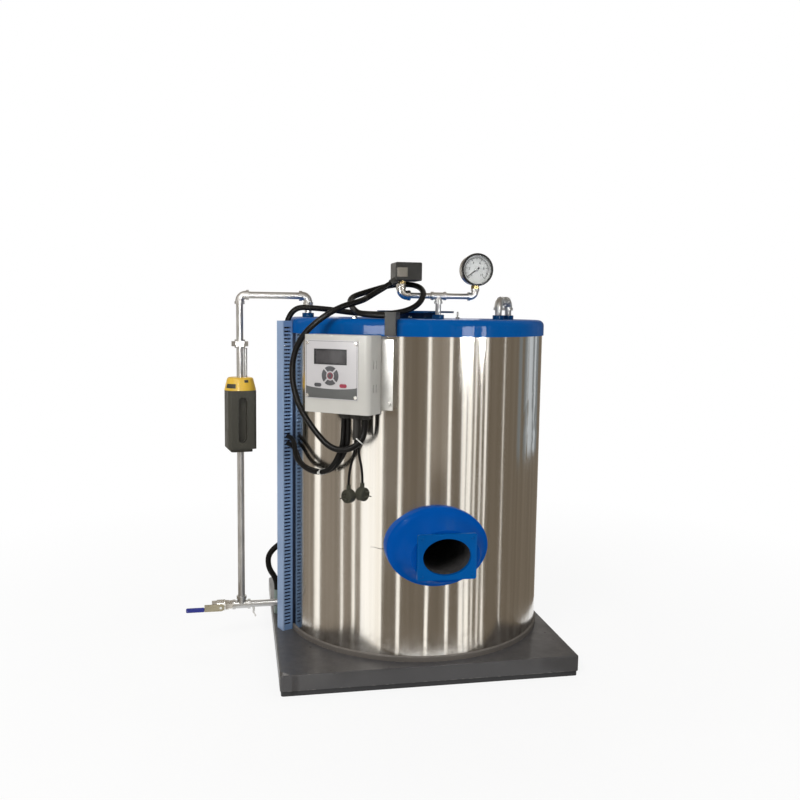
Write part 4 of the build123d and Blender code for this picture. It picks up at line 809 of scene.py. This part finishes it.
# The floor's own glow, which hides its edge: share near the boiler, and from where to where it grows to full
FLOOR_HALF, GLOW_NEAR, GLOW_FROM, GLOW_TO = 30, 0.87, 0.9, 2.2
floor = stage_mesh("floor", [(x * FLOOR_HALF, y * FLOOR_HALF, 0) for x, y in SQUARE], [(0, 1, 2, 3)])
g = Graph("floor_look")
grain = g.span(g.noise(3.0, 4.0), 0.3, 0.7)
g.shade(Base_Color=g.mix(grain, (0.86, 0.86, 0.85), (0.90, 0.90, 0.89)), Roughness=0.9)
away = g.add("ShaderNodeVectorMath", operation="LENGTH")
g.feed(g.place, away.inputs[0])
glow = g.add("ShaderNodeEmission")
glow.inputs["Color"].default_value = (1.0, 1.0, 1.0, 1.0)
glow.inputs["Strength"].default_value = 1.0
path = g.add("ShaderNodeLightPath")
seen = g.maths("MAXIMUM", g.maths("MAXIMUM", path.outputs["Is Camera Ray"], path.outputs["Is Glossy Ray"]),
               path.outputs["Is Transmission Ray"])
blend = g.add("ShaderNodeMixShader")
share = g.span(away.outputs["Value"], GLOW_FROM, GLOW_TO, GLOW_NEAR, 1.0)
g.feed(g.maths("MULTIPLY", seen, share), blend.inputs[0])
g.tree.links.new(g.bsdf.outputs[0], blend.inputs[1])
g.tree.links.new(glow.outputs[0], blend.inputs[2])
g.tree.links.new(blend.outputs[0], g.tree.nodes["Material Output"].inputs["Surface"])
floor.data.materials.append(g.mat)

# White where it is seen or reflected, and weaker as light
WORLD_LIGHT = 0.42
world = bpy.data.worlds.new("studio")
bpy.context.scene.world = world
world.use_nodes = True
tree = world.node_tree
back = tree.nodes["Background"]
back.inputs["Color"].default_value = (1.0, 1.0, 1.0, 1.0)
path = tree.nodes.new("ShaderNodeLightPath")
either = tree.nodes.new("ShaderNodeMath")
either.operation = "MAXIMUM"
both = tree.nodes.new("ShaderNodeMath")
both.operation = "MAXIMUM"
tree.links.new(path.outputs["Is Camera Ray"], either.inputs[0])
tree.links.new(path.outputs["Is Glossy Ray"], either.inputs[1])
tree.links.new(either.outputs[0], both.inputs[0])
tree.links.new(path.outputs["Is Transmission Ray"], both.inputs[1])
level = tree.nodes.new("ShaderNodeMapRange")
tree.links.new(both.outputs[0], level.inputs["Value"])
level.inputs["To Min"].default_value = WORLD_LIGHT
level.inputs["To Max"].default_value = 1.0
tree.links.new(level.outputs["Result"], back.inputs["Strength"])


def card_look(name, colour, strength=1.0):
    """Card that only shows in reflections: an even glow with faint upright streaks."""
    g = Graph(name)
    tone = g.mix(g.noise(2.0, 3.0, stretch=(6.0, 6.0, 0.2)), scaled(colour, 0.8), colour)
    card = g.add("ShaderNodeEmission")
    g.feed(tone, card.inputs["Color"])
    card.inputs["Strength"].default_value = strength
    g.tree.links.new(card.outputs[0], g.tree.nodes["Material Output"].inputs["Surface"])
    return g.mat


CARD_R, CARD_FOOT, CARD_SPLIT, CARD_TOP = 0.85, 0.0005, 0.52, 1.9
SKIRT_R, SKIRT_TOP = 0.60, 0.17
# Angles from the front between which the photograph's camera sees the jacket
LEFT_SEEN, RIGHT_SEEN = -93.0, 69.0
SIDE_BROWN, FRONT_BROWN, CREAM, COOL, PALE_COOL, STRIP = range(6)
CARD_COLOURS = {"card_brown": (0.33, 0.285, 0.235), "card_dark": (0.205, 0.17, 0.13),
                "card_cream": (1.6, 1.53, 1.4), "card_cool": (0.24, 0.26, 0.27),
                "card_pale_cool": (0.66, 0.71, 0.76)}
LEFT_OF_FRONT, RIGHT_OF_FRONT = -31, 120
# Lamp strips that show in the cap's enamel, by angle from the front
STRIPS = ((-45, -30.5), (18.5, 26.5), (32, 35.5))
STRIP_R, STRIP_LOW, STRIP_HIGH, STRIP_STRENGTH = 0.84, 0.962, 1.03, 50.0
# Pale gaps between the brown cards, by angle from the front
PALE = ((-119, -110), (-88.5, -82), (-62.2, -60.2), (-53.2, -50.6), (-46.6, -31.5), (-21.8, -19.6),
        (-3.4, -1.3), (10.6, 12.6), (20.0, 23.3), (24.1, 27.4), (29.2, 30.4), (33.6, 34.7), (37.4, 39.4),
        (53.5, 54.3), (128, 131), (150, 168), (190, 193), (205, 222))
# What differs above the split
UPPER = ((-1.3, 10.6, SIDE_BROWN), (70, 74, COOL), (78, 81, COOL), (81, 82.2, PALE_COOL),
         (86, 93, PALE_COOL), (93, 97, COOL), (97, 101, PALE_COOL), (101, 108, COOL))
edges = {-135.0, 225.0, *[float(a) for a in range(-130, 225, 10)]}
for low, high, *_ in PALE + UPPER:
    edges |= {float(low), float(high)}
edges = sorted(edges)
verts, faces, tones = [], [], []


def card(radius, one, two, low, high, tone):
    """One card between two angles from the front and two heights."""
    base = len(verts)
    for angle, z in ((one, low), (two, low), (two, high), (one, high)):
        a = math.radians(angle)
        verts.append((radius * math.sin(a), -radius * math.cos(a), z))
    faces.append(tuple(range(base, base + 4)))
    tones.append(tone)


def mirrored(angle, radius):
    """Angle at which a ring of cards shows in the jacket, at a place on it, to the photograph's camera."""
    a = math.radians(angle)
    normal = Vector((math.sin(a), -math.cos(a)))
    place = normal * JACKET_FACE
    way = (place - CAMERA_AT.xy).normalized().reflect(normal)
    reach = place.dot(way)
    spot = place + way * (math.sqrt(reach * reach + radius * radius - JACKET_FACE * JACKET_FACE) - reach)
    return angle - math.degrees(normal.angle_signed(spot, 0.0))


def skirt_angle(angle):
    """Angle on the low inner ring at which a band goes on where it shows on the outer one."""
    low, high = LEFT_SEEN, RIGHT_SEEN
    last = mirrored(high, CARD_R)
    if angle > last:
        start, end = mirrored(high, SKIRT_R), skirt_angle(edges[0]) + 360
        return start + (end - start) * (angle - last) / (edges[-1] - last)
    for _ in range(40):
        middle = (low + high) / 2
        low, high = (middle, high) if mirrored(middle, CARD_R) < angle else (low, middle)
    return mirrored(low, SKIRT_R)


for one, two in zip(edges, edges[1:]):
    middle = (one + two) / 2
    lower = FRONT_BROWN if LEFT_OF_FRONT < middle < RIGHT_OF_FRONT else SIDE_BROWN
    if any(low <= middle <= high for low, high in PALE):
        lower = CREAM
    upper = next((tone for low, high, tone in UPPER if low <= middle <= high), lower)
    card(CARD_R, one, two, CARD_FOOT, CARD_SPLIT, lower)
    card(CARD_R, one, two, CARD_SPLIT, CARD_TOP, upper)
    card(SKIRT_R, skirt_angle(one), skirt_angle(two), CARD_FOOT, SKIRT_TOP, lower)
for one, two in STRIPS:
    card(STRIP_R, one, two, STRIP_LOW, STRIP_HIGH, STRIP)
base = len(verts)
verts += [(CARD_R * math.sin(a), -CARD_R * math.cos(a), CARD_TOP) for a in turns(48)]
faces.append(tuple(range(base, len(verts))))
tones.append(SIDE_BROWN)
cards = stage_mesh("reflection_cards", verts, faces)
for name, colour in CARD_COLOURS.items():
    cards.data.materials.append(card_look(name + "_look", colour))
cards.data.materials.append(card_look("card_strip_look", (1.0, 1.0, 1.0), STRIP_STRENGTH))
cards.data.polygons.foreach_set("material_index", tones)
cards.visible_camera = False
cards.visible_diffuse = False
cards.visible_shadow = False
cards.visible_transmission = False


LAMPS_AIM = Vector((0, 0, 0.6))


def lamp(name, place, size, watts, colour=(1, 1, 1)):
    """Area lamp that points at the boiler's middle."""
    light = bpy.data.lights.new(name, "AREA")
    light.shape, light.size, light.size_y = "RECTANGLE", *size
    light.energy, light.color = watts, colour
    holder = bpy.data.objects.new(name, light)
    bpy.context.scene.collection.objects.link(holder)
    holder.location = place
    holder.rotation_euler = (LAMPS_AIM - Vector(place)).to_track_quat("-Z", "Y").to_euler()
    return holder


lamp("key", (-2.2, -3.0, 3.2), (1.6, 1.6), 84, (1.0, 0.98, 0.95))
lamp("fill", (2.8, -2.6, 2.0), (2.0, 2.0), 12).visible_glossy = False
lamp("rear", (0.5, 3.2, 2.8), (2.4, 1.6), 45).visible_glossy = False

# Camera at the photograph's place: the columns of its matrix are right, up and back
YAW, PITCH, ROLL = math.radians(10.94), math.radians(6.03), math.radians(-0.764)
FOCAL_PX, FRAME_PX, SENSOR = 838, 800, 36.0
forward = Vector((math.sin(YAW) * math.cos(PITCH), math.cos(YAW) * math.cos(PITCH), -math.sin(PITCH)))
level_right = Vector((math.cos(YAW), -math.sin(YAW), 0))
level_down = forward.cross(level_right)
right = math.cos(ROLL) * level_right + math.sin(ROLL) * level_down
down = -math.sin(ROLL) * level_right + math.cos(ROLL) * level_down
lens = bpy.data.cameras.new("camera")
lens.sensor_width = SENSOR
lens.lens = FOCAL_PX / FRAME_PX * SENSOR
camera = bpy.data.objects.new("camera", lens)
bpy.context.scene.collection.objects.link(camera)
camera.matrix_world = Matrix.Translation(CAMERA_AT) @ Matrix((right, -down, -forward)).transposed().to_4x4()
bpy.context.scene.camera = camera
bpy.context.scene.view_settings.view_transform = "Standard"
